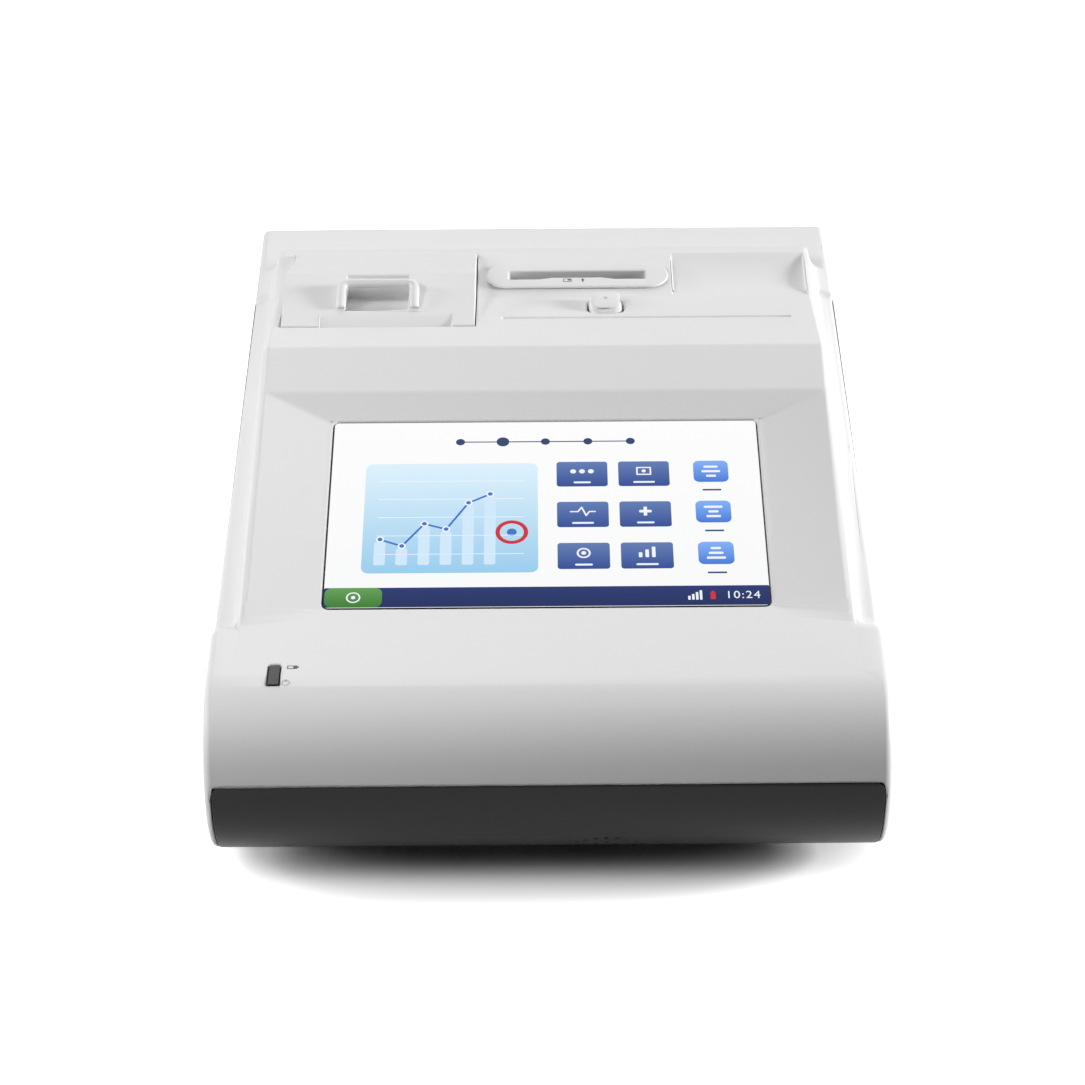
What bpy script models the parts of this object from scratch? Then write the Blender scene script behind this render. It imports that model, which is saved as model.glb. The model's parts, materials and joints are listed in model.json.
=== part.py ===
"""Bench-top blood gas analyzer: a slanted wedge case with a round nose, a recessed touch screen,
a card slot and a thermal printer under a hinged door. Metres, +Z up, +X to the user's right and +Y to
the rear; the origin lies under the middle of the case, on the surface it stands on.
A setback is a distance from the nose towards the rear, and a height is measured from the table."""

import math

import bmesh
import bpy
from mathutils import Matrix, Vector

# Case, overall
CASE_WIDTH = 0.238
NOSE_BOW = 0.0014
NOSE_BOW_SETBACK = 0.100
NOSE_RADIUS = 0.0338
NOSE_CENTRE_HEIGHT = 0.0421
EDGE_RADIUS = 0.0030
TAIL_RADIUS = 0.0040
COVER_WALL = 0.0030
CHEEK_WALL = 0.0023
PIECE_GAP = 0.0003
OVERRUN = 0.0200

# Case profile, front to rear
SCREEN_FOOT_SETBACK = 0.0634
SCREEN_FOOT_HEIGHT = 0.0830
SCREEN_TILT = math.radians(22.5)
SCREEN_WIDTH = 0.1605
SCREEN_HEIGHT = 0.0960
SCREEN_CORNER = 0.0025
SCREEN_SURROUND = 0.0018
SCREEN_BEVEL_RUN = 0.0088
SCREEN_BEVEL_RISE = 0.0089
TERRACE_RAMP_RUN = 0.0211
TERRACE_RAMP_RISE = 0.0109
TERRACE_RUN = 0.0525
TERRACE_RISE = 0.0020
PLATFORM_RUN = 0.0280
PLATFORM_RISE = 0.0090
RIM_DEPTH = 0.0085
RIM_WALL_RUN = 0.0010
LEDGE_RUN = 0.0320
TAIL_LEAN_RUN = 0.0110
TAIL_DEPTH = 0.0645
BELT_SLOPE = math.radians(16.8)

# Side scoops between the ridges and the belt
RIDGE_HALF_WIDTH = 0.1090
RIDGE_ROUND = 0.0020
SCOOP_FRONT_SETBACK = 0.0500
SCOOP_RUNOUT = 0.0160
SCOOP_DIG = 0.0021
SCOOP_REAR_INSET = 0.0085
SCOOP_NOTCH_RUN = 0.0015
RIDGE_FRONT_SETBACK = 0.0550
RIDGE_FRONT_DIP = 0.0002

# Bumper and speaker
BUMPER_WALL = 0.0026
BUMPER_CORNER = 0.0030
BUMPER_RISE = 0.0038
SPEAKER_OFFSET = 0.0200
SPEAKER_RADIUS = 0.0150
SPEAKER_DEPTH = 0.0060
SPEAKER_ANGLE = math.radians(244)
GRILLE_HOLE_RADIUS = 0.00075
GRILLE_PITCH = 0.00465
GRILLE_SPACING = 0.00383
GRILLE_RINGS = 3

# Bottom case
BASE_INSET = 0.0190
BASE_WALL = 0.0025
BASE_FLOOR_HEIGHT = 0.0050
BASE_FRONT_SETBACK = 0.0480
BASE_REAR_INSET = 0.0210
BASE_REAR_LEAN = 0.0140
FLANGE_THICKNESS = 0.0030
FOOT_RADIUS = 0.0090
FOOT_TOP_RADIUS = 0.0075
FOOT_SIDE_INSET = 0.0200
FOOT_FRONT_INSET = 0.0220
FOOT_REAR_INSET = 0.0240

# Case screws and the posts that take them
POST_RADIUS = 0.0042
POST_SIDE_INSET = 0.0100
POST_FRONT_INSET = 0.0520
POST_REAR_INSET = 0.0100
SCREW_RADIUS = 0.0015
SCREW_HEAD_RADIUS = 0.0030
SCREW_HEAD_HEIGHT = 0.0020
SCREW_LENGTH = 0.0140
SCREW_CLEARANCE = 0.0003

# Display stack, measured down from the screen plane
GLASS_THICKNESS = 0.0028
GLASS_SINK = 0.0002
DISPLAY_MARGIN = 0.0030
DISPLAY_THICKNESS = 0.0060
CLAMP_WIDTH = 0.0120
CLAMP_THICKNESS = 0.0015
CLAMP_OVERHANG = 0.0085
CLAMP_POST_RADIUS = 0.0028
CLAMP_SHARE = 0.16

# Status window on the left of the nose
STATUS_WIDTH = 0.0044
STATUS_LENGTH = 0.0114
STATUS_OFFSET = -0.0944
STATUS_SETBACK = 0.0270

# Terrace groove
GROOVE_LEFT = -0.0170
GROOVE_RIGHT = 0.0980
GROOVE_INSET = 0.0290
GROOVE_WIDTH = 0.0020
GROOVE_DEPTH = 0.0008

# Dished area to the right of the card platform
DISH_LEFT = 0.0520
DISH_RIGHT = 0.1065
DISH_DEPTH = 0.0024
DISH_STEPS = 8

# Card slot, in the plane of the card platform
BEZEL_WIDTH = 0.0740
BEZEL_HEIGHT = 0.0160
BEZEL_RISE = 0.0016
BEZEL_OFFSET = 0.0135
BEZEL_CENTRE_RUN = 0.0127
SLOT_WIDTH = 0.0556
SLOT_HEIGHT = 0.0054
SLOT_TAB_WIDTH = 0.0205
SLOT_TAB_RISE = 0.0010
SLOT_TAB_RAMP = 0.0050
CARD_GUIDE_WALL = 0.0020
CARD_GUIDE_DEPTH = 0.0280
CONTACT_BLOCK_DEPTH = 0.0100
CONTACT_BLOCK_GROWTH = 0.0020
HEATER_THICKNESS = 0.0040
HEATER_SHARE = 0.6

# Card release button
BUTTON_SIZE = 0.0140
BUTTON_CORNER = 0.0040
BUTTON_PROUD = 0.0045
BUTTON_DOME = 0.0009
BUTTON_OFFSET = 0.0245
BUTTON_INSET = 0.0115
BUTTON_TRAVEL = 0.0030
BUTTON_SKIRT = 0.0040
BUTTON_STEM_RADIUS = 0.0020
SPRING_RADIUS = 0.0034
SPRING_WIRE = 0.0005
SPRING_TURNS = 4
SPRING_LENGTH = 0.0060
SWITCH_BOARD_THICKNESS = 0.0016
BUTTON_WELL_WALL = 0.0016

# Printer door and bay
DOOR_LEFT = -0.1039
DOOR_RIGHT = -0.0275
DOOR_LENGTH = 0.0593
DOOR_SLOPE_RUN = 0.0308
DOOR_RISE = 0.0015
DOOR_WALL = 0.0022
DOOR_SKIRT_GAP = 0.0037
DOOR_GAP = 0.0004
HINGE_INSET = 0.0045
HINGE_RADIUS = 0.0060
HINGE_NOTCH_RISE = 0.0024
DOOR_OPEN_ANGLE = math.radians(75)
HINGE_PIN_RADIUS = 0.0011
HINGE_EAR_RADIUS = 0.0027
HINGE_EAR_WIDTH = 0.0020
DOOR_JOG = 0.0024
DOOR_JOG_RUN = 0.0140
LIP_LEFT = -0.0887
LIP_RIGHT = -0.0363
LIP_NOTCH_DEPTH = 0.0008
LIP_RUN = 0.0075
LIP_DROP = 0.0018
LIP_BACKING = 0.0012
LIP_END_WALL = 0.0006
POCKET_LEFT = -0.0790
POCKET_RIGHT = -0.0540
POCKET_INSET = 0.0092
POCKET_LENGTH = 0.0206
POCKET_FLOOR_GAP = 0.0083
POCKET_WALL = 0.0012
LOOP_CENTRE = -0.0660
LOOP_WIDTH = 0.0290
LOOP_WIRE_RADIUS = 0.0019
LOOP_INSET = 0.0094
LOOP_LEAN_RUN = 0.0114
LOOP_BAR_DROP = 0.0008
LOOP_BEND = 0.0028

# Printer mechanism
TUB_LEFT = -0.0985
TUB_RIGHT = -0.0365
TUB_INSET = 0.0158
TUB_LENGTH = 0.0350
TUB_DEPTH = 0.0335
TUB_WALL = 0.0018
DECK_DROP = 0.0068
DECK_THICKNESS = 0.0020
DECK_FRONT_MARGIN = 0.0087
DECK_REAR_MARGIN = 0.0059
DECK_POST_RADIUS = 0.0017
DECK_POST_INSET = 0.0050
DECK_POST_EDGE = 0.0020
ROLLER_RADIUS = 0.0038
ROLLER_SHAFT_RADIUS = 0.0014
ROLLER_INSET = 0.0090
ROLLER_LIFT = 0.0011
ROLLER_LEFT = -0.0938
ROLLER_LENGTH = 0.0560
ROLLER_EAR = 0.0020
ROLLER_EAR_RADIUS = 0.0030
RUNNING_GAP = 0.0003
PRINT_HEAD_DEPTH = 0.0028
PRINT_HEAD_HEIGHT = 0.0036
TEAR_BAR_THICKNESS = 0.0008
TEAR_BAR_RISE = 0.0030
GEAR_MODULE = 0.0007
GEAR_TEETH = 15
PINION_TEETH = 11
GEAR_WIDTH = 0.0038
GEAR_BACKLASH_SHARE = 0.42
GEAR_LEAN = math.radians(52)
GEAR_CLEARANCE = 0.00015
MOTOR_RADIUS = 0.0070
MOTOR_LENGTH = 0.0180
MOTOR_PLATE = 0.0020
MOTOR_SHAFT_RADIUS = 0.0010

# Scanner in the right end of the nose
SCANNER_BEZEL_RADIUS = 0.0135
SCANNER_WINDOW_RADIUS = 0.0103
SCANNER_PROUD = 0.0008
SCANNER_TUBE_LENGTH = 0.0080
SCANNER_WINDOW_THICKNESS = 0.0020
SCANNER_WINDOW_SINK = 0.0010
SCANNER_ENGINE_SIZE = 0.0150
SCANNER_ENGINE_LENGTH = 0.0200
SCANNER_RING_RADII = (0.0195, 0.0265)
SCANNER_RING_WIDTH = 0.0012
SCANNER_RING_DEPTH = 0.0006

# Battery bay and battery cover
BATTERY_WIDTH = 0.0860
BATTERY_LENGTH = 0.0700
BATTERY_THICKNESS = 0.0230
BATTERY_INSET = 0.0470
BATTERY_LEDGE = 0.0040
BATTERY_COVER_THICKNESS = 0.0022

# Main board on its bosses
BOARD_WIDTH = 0.1500
BOARD_LENGTH = 0.0800
BOARD_THICKNESS = 0.0016
BOARD_INSET = 0.0260
BOARD_LIFT = 0.0130
BOARD_BOSS_RADIUS = 0.0035
BOARD_BOSS_INSET = 0.0080
CHIP_SIZE = 0.0220
CHIP_THICKNESS = 0.0020

# Rear connector plate, in the plane of the base's rear wall
PANEL_WIDTH = 0.1340
PANEL_HEIGHT = 0.0300
PANEL_THICKNESS = 0.0020
PANEL_LIFT = 0.0300
PANEL_CORNER = 0.0020
PANEL_RECESS = 0.0012
SOCKET_GAP = 0.0003
SOCKET_PROUD = 0.0006
INLET_RADIUS = 0.0050
INLET_BORE = 0.0028
INLET_LENGTH = 0.0120
INLET_OFFSET = -0.0540
ROCKER_WIDTH = 0.0100
ROCKER_HEIGHT = 0.0160
ROCKER_DEPTH = 0.0110
ROCKER_OFFSET = -0.0360
ROCKER_TRAVEL = math.radians(9)
ROCKER_PIVOT_DEPTH = 0.0020
ROCKER_LIFT = math.radians(23.5)
ROCKER_SKIRT = math.radians(28)
ROCKER_VALLEY = 0.0010
ROCKER_FRAME = 0.0014
USB_WIDTH = 0.0136
USB_HEIGHT = 0.0068
USB_LENGTH = 0.0140
USB_OFFSETS = (-0.0140, 0.0050)
LAN_WIDTH = 0.0160
LAN_HEIGHT = 0.0134
LAN_LENGTH = 0.0180
LAN_OFFSET = 0.0250
SERIAL_WIDTH = 0.0180
SERIAL_HEIGHT = 0.0090
SERIAL_LENGTH = 0.0100
SERIAL_OFFSET = 0.0500
SOCKET_WALL = 0.0008

NOSE_STEPS = 18
ROUND_STEPS = 4
SIDES = 24
SMALL_SIDES = 12

half_width = CASE_WIDTH / 2
half_turn = math.pi
quarter_turn = math.pi / 2

# The profile's corners, each from the one before it
screen_foot = (SCREEN_FOOT_SETBACK, SCREEN_FOOT_HEIGHT)
screen_head = (screen_foot[0] + SCREEN_HEIGHT * math.cos(SCREEN_TILT),
               screen_foot[1] + SCREEN_HEIGHT * math.sin(SCREEN_TILT))
bevel_head = (screen_head[0] + SCREEN_BEVEL_RUN, screen_head[1] + SCREEN_BEVEL_RISE)
terrace_start = (bevel_head[0] + TERRACE_RAMP_RUN, bevel_head[1] + TERRACE_RAMP_RISE)
terrace_end = (terrace_start[0] + TERRACE_RUN, terrace_start[1] + TERRACE_RISE)
rim_front = (terrace_end[0] + PLATFORM_RUN, terrace_end[1] + PLATFORM_RISE)
rim_rear = (rim_front[0] + RIM_DEPTH, rim_front[1])
ledge_setback = rim_rear[0] + RIM_WALL_RUN
tail_head = (ledge_setback + LEDGE_RUN, rim_front[1])
tail_foot = (tail_head[0] + TAIL_LEAN_RUN, tail_head[1] - TAIL_DEPTH)
case_length = tail_foot[0]
scoop_rear = rim_front[0] - SCOOP_REAR_INSET
platform_slope = math.atan2(PLATFORM_RISE, PLATFORM_RUN)

# Places of the base and what stands on it
base_side = half_width - BASE_INSET
base_rear = case_length - BASE_REAR_INSET
foot_front = BASE_FRONT_SETBACK + FOOT_FRONT_INSET
foot_rear = base_rear - FOOT_REAR_INSET
post_front = BASE_FRONT_SETBACK + POST_FRONT_INSET
post_rear = base_rear - POST_REAR_INSET
battery_middle = BASE_FRONT_SETBACK + BATTERY_INSET + BATTERY_LENGTH / 2
board_middle = base_rear - BOARD_INSET - BOARD_LENGTH / 2
board_height = BASE_FLOOR_HEIGHT + BOARD_LIFT

# Places on the terrace
groove_setback = terrace_start[0] + GROOVE_INSET
button_setback = terrace_end[0] - BUTTON_INSET

# Places of the printer, all from the door's front edge and its top
door_front_setback = rim_front[0] - DOOR_LENGTH
door_crease_setback = door_front_setback + DOOR_SLOPE_RUN
door_top_height = rim_front[1] + DOOR_RISE
hinge_axis = (rim_front[0] - HINGE_INSET, door_top_height - HINGE_RADIUS)
pocket_front = door_front_setback + POCKET_INSET
pocket_rear = pocket_front + POCKET_LENGTH
loop_foot = door_front_setback + LOOP_INSET
loop_bar = (loop_foot + LOOP_LEAN_RUN, door_top_height - LOOP_BAR_DROP)
tub_front = door_front_setback + TUB_INSET
tub_rear = tub_front + TUB_LENGTH
deck_front = door_front_setback - DECK_FRONT_MARGIN
deck_rear = rim_front[0] + DECK_REAR_MARGIN
deck_height = (terrace_start[1] + (door_front_setback - terrace_start[0]) * TERRACE_RISE / TERRACE_RUN
               - DECK_DROP)
tub_floor = deck_height - TUB_DEPTH
skirt_height = deck_height + DOOR_SKIRT_GAP
pocket_floor = deck_height + POCKET_FLOOR_GAP
roller_axis = (door_front_setback + ROLLER_INSET, deck_height + ROLLER_LIFT)

# Shares of the drop from ridge to belt, and of the scoop's width, at which the scoop is sampled
SCOOP_SHARES = ((0.0, 0.08), (0.10, 0.40), (0.28, 0.70), (0.58, 0.91), (1.0, 1.0))

parts = bpy.data.collections.new("blood_gas_analyzer")
cutters = bpy.data.collections.new("cutters")


def y_of(setback):
    return setback - case_length / 2


def apron_tangent():
    """Angle of the nose at which the line to the screen's foot leaves it, measured from +Y."""
    run = SCREEN_FOOT_SETBACK - NOSE_RADIUS
    rise = SCREEN_FOOT_HEIGHT - NOSE_CENTRE_HEIGHT
    return math.atan2(rise, run) + math.acos(NOSE_RADIUS / math.hypot(run, rise))


def belly_tangent():
    """Angle of the nose at which the line to the tail's foot leaves it."""
    run = case_length - NOSE_RADIUS
    rise = tail_foot[1] - NOSE_CENTRE_HEIGHT
    return math.atan2(rise, run) - math.acos(NOSE_RADIUS / math.hypot(run, rise))


def nose_point(angle, radius=NOSE_RADIUS):
    return (NOSE_RADIUS + radius * math.cos(angle), NOSE_CENTRE_HEIGHT + radius * math.sin(angle))


def belt_height(setback):
    return tail_head[1] - (tail_head[0] - setback) * math.tan(BELT_SLOPE)


def line_height(setback, start, end):
    share = (setback - start[0]) / (end[0] - start[0])
    return start[1] + share * (end[1] - start[1])


def belly_height(setback):
    """Height of the case's sloping lower edge."""
    return line_height(setback, nose_point(belly_tangent()), (case_length, tail_foot[1]))


apron_foot = nose_point(apron_tangent())


def apron_height(setback):
    return line_height(setback, apron_foot, screen_foot)


def chain_height(setback, chain):
    """Height of a chain of points at a setback."""
    for start, end in zip(chain, chain[1:]):
        if setback <= end[0]:
            return line_height(setback, start, end)
    return chain[-1][1]


centre_chain = [apron_foot, screen_foot, screen_head, bevel_head, terrace_start, terrace_end,
                rim_front, rim_rear, (ledge_setback, belt_height(ledge_setback)),
                tail_head]
ridge_foot = (RIDGE_FRONT_SETBACK, apron_height(RIDGE_FRONT_SETBACK) - RIDGE_FRONT_DIP)
ridge_chain = [apron_foot, ridge_foot, bevel_head] + centre_chain[4:]


def surface_height(setback):
    return chain_height(setback, centre_chain)


def scoop_height(setback):
    """Height of the belt edge beside the island: the scoop digs below the belt, the ledge does not."""
    if setback >= scoop_rear + SCOOP_NOTCH_RUN:
        return belt_height(setback)
    share = (setback - SCOOP_FRONT_SETBACK) / SCOOP_RUNOUT
    share = min(max(share, 0), 1)
    share = share * share * (3 - 2 * share)
    return (1 - share) * apron_height(setback) + share * (belt_height(setback) - SCOOP_DIG)


# Objects

def make_material(name, colour, roughness, metallic=0.0):
    material = bpy.data.materials.new(name)
    material.use_nodes = True
    shader = material.node_tree.nodes["Principled BSDF"]
    shader.inputs["Base Color"].default_value = (*colour, 1.0)
    shader.inputs["Roughness"].default_value = roughness
    shader.inputs["Metallic"].default_value = metallic
    return material


def make_materials():
    return {
        "cover_white": make_material("cover_white", (0.80, 0.80, 0.80), 0.45),
        "bumper_dark": make_material("bumper_dark", (0.030, 0.030, 0.031), 0.40),
        "screen_glass": make_material("screen_glass", (0.90, 0.93, 0.97), 0.10),
        "smoke_window": make_material("smoke_window", (0.05, 0.05, 0.055), 0.15),
        "rubber_black": make_material("rubber_black", (0.02, 0.02, 0.02), 0.80),
        "steel": make_material("steel", (0.60, 0.60, 0.62), 0.30, 1.0),
        "board_green": make_material("board_green", (0.03, 0.20, 0.08), 0.50),
        "inner_plastic": make_material("inner_plastic", (0.10, 0.10, 0.11), 0.55),
        "brass": make_material("brass", (0.75, 0.58, 0.28), 0.35, 1.0),
        "battery_wrap": make_material("battery_wrap", (0.06, 0.10, 0.30), 0.45),
        "scanner_red": make_material("scanner_red", (0.35, 0.01, 0.01), 0.12),
    }


def finish_object(name, mesh, material=None):
    """A mesh as a part with a material, or as a cutter without one."""
    for polygon in mesh.polygons:
        polygon.use_smooth = False
    piece = bpy.data.objects.new(name, mesh)
    if material is None:
        cutters.objects.link(piece)
        piece.hide_render = True
        piece.display_type = "WIRE"
    else:
        mesh.materials.clear()
        mesh.materials.append(material)
        parts.objects.link(piece)
    return piece


# Local axes (a, b, c) of an outline in the side, front and plan planes
SIDE = Matrix(((0, 0, 1, 0), (1, 0, 0, 0), (0, 1, 0, 0), (0, 0, 0, 1)))
FRONT = Matrix(((1, 0, 0, 0), (0, 0, -1, 0), (0, 1, 0, 0), (0, 0, 0, 1)))
PLAN = Matrix.Identity(4)


def tilted_plane(point, slope):
    """Local x across the case, local y up the slope and local z out of it."""
    place = Matrix.Translation((0, y_of(point[0]), point[1]))
    return place @ Matrix.Rotation(slope, 4, "X")


screen_plane = tilted_plane(screen_foot, SCREEN_TILT)
platform_plane = tilted_plane(terrace_end, platform_slope)
apron_slope = math.atan2(screen_foot[1] - apron_foot[1], screen_foot[0] - apron_foot[0])
rear_lean = math.atan2(BASE_REAR_LEAN, belly_height(base_rear) - BASE_FLOOR_HEIGHT)
# Local x to the user's left, local y up the rear wall and local z out of it
rear_plane = (tilted_plane((base_rear, BASE_FLOOR_HEIGHT), quarter_turn - rear_lean)
              @ Matrix.Rotation(half_turn, 4, "Y"))


def extruded(name, outlines, low, high, frame=PLAN, material=None):
    """A flat outline, with any holes, given a thickness from low to high along its normal."""
    curve = bpy.data.curves.new(name, "CURVE")
    curve.dimensions = "2D"
    curve.fill_mode = "BOTH"
    curve.extrude = (high - low) / 2
    for outline in outlines:
        spline = curve.splines.new("POLY")
        spline.points.add(len(outline) - 1)
        for point, (a, b) in zip(spline.points, outline):
            point.co = (a, b, 0, 1)
        spline.use_cyclic_u = True
    holder = bpy.data.objects.new(name + "_outline", curve)
    bpy.context.scene.collection.objects.link(holder)
    mesh = mesh_of(holder)
    bpy.data.objects.remove(holder)
    mesh.transform(frame @ Matrix.Translation((0, 0, (low + high) / 2)))
    return finish_object(name, mesh, material)


WELD = 0.000001


def mesh_of(holder):
    """The evaluated mesh of an object, welded, with its faces pointing out."""
    bpy.context.view_layer.update()
    depsgraph = bpy.context.evaluated_depsgraph_get()
    mesh = bpy.data.meshes.new_from_object(holder.evaluated_get(depsgraph))
    work = bmesh.new()
    work.from_mesh(mesh)
    bmesh.ops.remove_doubles(work, verts=work.verts, dist=WELD)
    bmesh.ops.recalc_face_normals(work, faces=work.faces)
    work.to_mesh(mesh)
    work.free()
    return mesh


def side_prism(name, outline, left, right, material=None):
    """An outline of (setback, height) points, extruded across the case."""
    return extruded(name, [[(y_of(s), h) for s, h in outline]], left, right, SIDE, material)


def block(name, low, high, frame=PLAN, material=None):
    work = bmesh.new()
    bmesh.ops.create_cube(work, size=1)
    size = [b - a for a, b in zip(low, high)]
    centre = [(a + b) / 2 for a, b in zip(low, high)]
    place = frame @ Matrix.Translation(centre) @ Matrix.Diagonal((*size, 1))
    bmesh.ops.transform(work, matrix=place, verts=work.verts)
    mesh = bpy.data.meshes.new(name)
    work.to_mesh(mesh)
    work.free()
    return finish_object(name, mesh, material)


def rod(name, radius, low, high, centre, frame=PLAN, material=None, sides=SIDES, top_radius=None):
    """A cylinder or cone along the local z of a frame, from low to high."""
    work = bmesh.new()
    bmesh.ops.create_cone(work, cap_ends=True, segments=sides, radius1=radius,
                          radius2=radius if top_radius is None else top_radius, depth=high - low)
    place = frame @ Matrix.Translation((centre[0], centre[1], (low + high) / 2))
    bmesh.ops.transform(work, matrix=place, verts=work.verts)
    mesh = bpy.data.meshes.new(name)
    work.to_mesh(mesh)
    work.free()
    return finish_object(name, mesh, material)


def rods(name, radius, low, high, centres, sides=SMALL_SIDES):
    """Several upright cylinders as one cutter."""
    work = bmesh.new()
    for centre in centres:
        place = Matrix.Translation((centre[0], centre[1], (low + high) / 2))
        bmesh.ops.create_cone(work, cap_ends=True, segments=sides, radius1=radius, radius2=radius,
                              depth=high - low, matrix=place)
    mesh = bpy.data.meshes.new(name)
    work.to_mesh(mesh)
    work.free()
    return finish_object(name, mesh)


def combine(target, tool, operation):
    modifier = target.modifiers.new(operation.lower() + "_" + tool.name, "BOOLEAN")
    modifier.operation = operation
    modifier.solver = "EXACT"
    modifier.object = tool
    return target


def carve(target, *tools):
    for tool in tools:
        combine(target, tool, "DIFFERENCE")
    return target


def join(target, *tools):
    for tool in tools:
        combine(target, tool, "UNION")
    return target


def keep_common(target, tool):
    return combine(target, tool, "INTERSECT")


def rounded_rectangle(width, height, radius, centre=(0, 0), steps=ROUND_STEPS):
    points = []
    for quarter, (sx, sy) in enumerate(((1, 1), (-1, 1), (-1, -1), (1, -1))):
        for step in range(steps + 1):
            angle = quarter_turn * (quarter + step / steps)
            points.append((centre[0] + sx * (width / 2 - radius) + radius * math.cos(angle),
                           centre[1] + sy * (height / 2 - radius) + radius * math.sin(angle)))
    return points


def arc(centre, radius, start, end, steps):
    return [(centre[0] + radius * math.cos(start + (end - start) * k / steps),
             centre[1] + radius * math.sin(start + (end - start) * k / steps))
            for k in range(steps + 1)]


def circle(centre, radius, sides=SIDES):
    return arc(centre, radius, 0, 2 * half_turn, sides)[:-1]


# Case

def bow(setback, x):
    """The sides draw in a little towards the nose."""
    share = max(0, 1 - setback / NOSE_BOW_SETBACK)
    return x * (1 - NOSE_BOW / half_width * share * share)


def case_rows():
    """The closed side profile, as rows of (centre, ridge, belt, inward) points."""
    rows = []
    start = 2 * half_turn + belly_tangent()
    end = apron_tangent()
    for step in range(NOSE_STEPS + 1):
        angle = start + (end - start) * step / NOSE_STEPS
        point = nose_point(angle)
        rows.append((point, point, point, (-math.cos(angle), -math.sin(angle))))
    runout = [SCOOP_FRONT_SETBACK + SCOOP_RUNOUT * k / ROUND_STEPS for k in range(ROUND_STEPS + 1)]
    middle = [(runout[-1] * (3 - k) + screen_head[0] * k) / 3 for k in (1, 2)]
    setbacks = (runout + middle + [RIDGE_FRONT_SETBACK] + [p[0] for p in centre_chain[1:-1]]
                + [scoop_rear, scoop_rear + SCOOP_NOTCH_RUN])
    for setback in sorted(set(setbacks)):
        rows.append(((setback, surface_height(setback)), (setback, chain_height(setback, ridge_chain)),
                     (setback, scoop_height(setback)), (0, -1)))
    rows += fillet_rows((tail_head[0], tail_head[1]), BELT_SLOPE, tail_fall(), TAIL_RADIUS)
    belly = math.atan2(tail_foot[1] - nose_point(belly_tangent())[1],
                       case_length - nose_point(belly_tangent())[0])
    rows += fillet_rows((case_length, tail_foot[1]), tail_fall(), belly - half_turn, TAIL_RADIUS)
    return rows


def tail_fall():
    """Direction of the rear face, going down."""
    return math.atan2(tail_foot[1] - tail_head[1], case_length - tail_head[0])


def fillet_rows(corner, heading_in, heading_out, radius):
    """Rows of an arc that rounds a corner between two headings, turning right."""
    turn = heading_in - heading_out
    back = radius * math.tan(turn / 2)
    centre = (corner[0] - back * math.cos(heading_in) + radius * math.sin(heading_in),
              corner[1] - back * math.sin(heading_in) - radius * math.cos(heading_in))
    rows = []
    for step in range(ROUND_STEPS + 1):
        angle = heading_in + quarter_turn - turn * step / ROUND_STEPS
        point = (centre[0] + radius * math.cos(angle), centre[1] + radius * math.sin(angle))
        rows.append((point, point, point, (-math.cos(angle), -math.sin(angle))))
    return rows


def case_section(row):
    """Points (x, setback, height) of half a section, from the middle to the side face."""
    centre, ridge, belt, inward = row
    edge_start = half_width - EDGE_RADIUS
    frame_half = SCREEN_WIDTH / 2 + SCREEN_SURROUND
    section = [(0, *centre), (frame_half, *centre), (RIDGE_HALF_WIDTH - RIDGE_ROUND, *ridge)]
    for across, down in SCOOP_SHARES:
        x = RIDGE_HALF_WIDTH + across * (edge_start - RIDGE_HALF_WIDTH)
        section.append((x, ridge[0] + down * (belt[0] - ridge[0]), ridge[1] + down * (belt[1] - ridge[1])))
    for step in range(1, ROUND_STEPS):
        angle = quarter_turn * step / (ROUND_STEPS - 1)
        drop = EDGE_RADIUS * (1 - math.cos(angle))
        section.append((edge_start + EDGE_RADIUS * math.sin(angle),
                        belt[0] + inward[0] * drop, belt[1] + inward[1] * drop))
    return [(bow(s, x), y_of(s), h) for x, s, h in section]


def case_form(name, material):
    """The whole wedge as one solid, lofted through sections that stand on the side profile."""
    work = bmesh.new()
    rings = []
    for row in case_rows():
        half = [work.verts.new(point) for point in case_section(row)]
        other = [work.verts.new((-v.co.x, v.co.y, v.co.z)) for v in half[1:]]
        rings.append(other[::-1] + half)
    for ring, following in zip(rings, rings[1:] + rings[:1]):
        for k in range(len(ring) - 1):
            work.faces.new((ring[k], ring[k + 1], following[k + 1], following[k]))
    work.faces.new([ring[-1] for ring in rings])
    work.faces.new([ring[0] for ring in reversed(rings)])
    bmesh.ops.triangulate(work, faces=work.faces)
    bmesh.ops.recalc_face_normals(work, faces=work.faces)
    mesh = bpy.data.meshes.new(name)
    work.to_mesh(mesh)
    work.free()
    return finish_object(name, mesh, material)


def cavity_outline(heights, front=COVER_WALL):
    """The inside of the cover in side view, open below, under the heights given by a function."""
    inner = NOSE_RADIUS - front
    points = [(front, -OVERRUN)]
    points += arc((NOSE_RADIUS, NOSE_CENTRE_HEIGHT), inner, half_turn, apron_tangent(), ROUND_STEPS * 2)
    setbacks = [screen_foot[0], screen_head[0], bevel_head[0], terrace_start[0], terrace_end[0],
                rim_front[0], rim_rear[0] - COVER_WALL]
    step_setback = ledge_setback - COVER_WALL
    depth = COVER_WALL / math.cos(SCREEN_TILT)
    points += [(s, heights(s) - depth) for s in setbacks]
    points.append((step_setback, belt_height(ledge_setback) - depth))
    rear_top = tail_head[0] - COVER_WALL
    points.append((rear_top, belt_height(rear_top) - depth))
    foot = tail_foot[1] - OVERRUN
    lean = TAIL_LEAN_RUN / TAIL_DEPTH
    points.append((rear_top + (points[-1][1] - foot) * lean, foot))
    points.append((rear_top, -OVERRUN))
    return points


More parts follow.
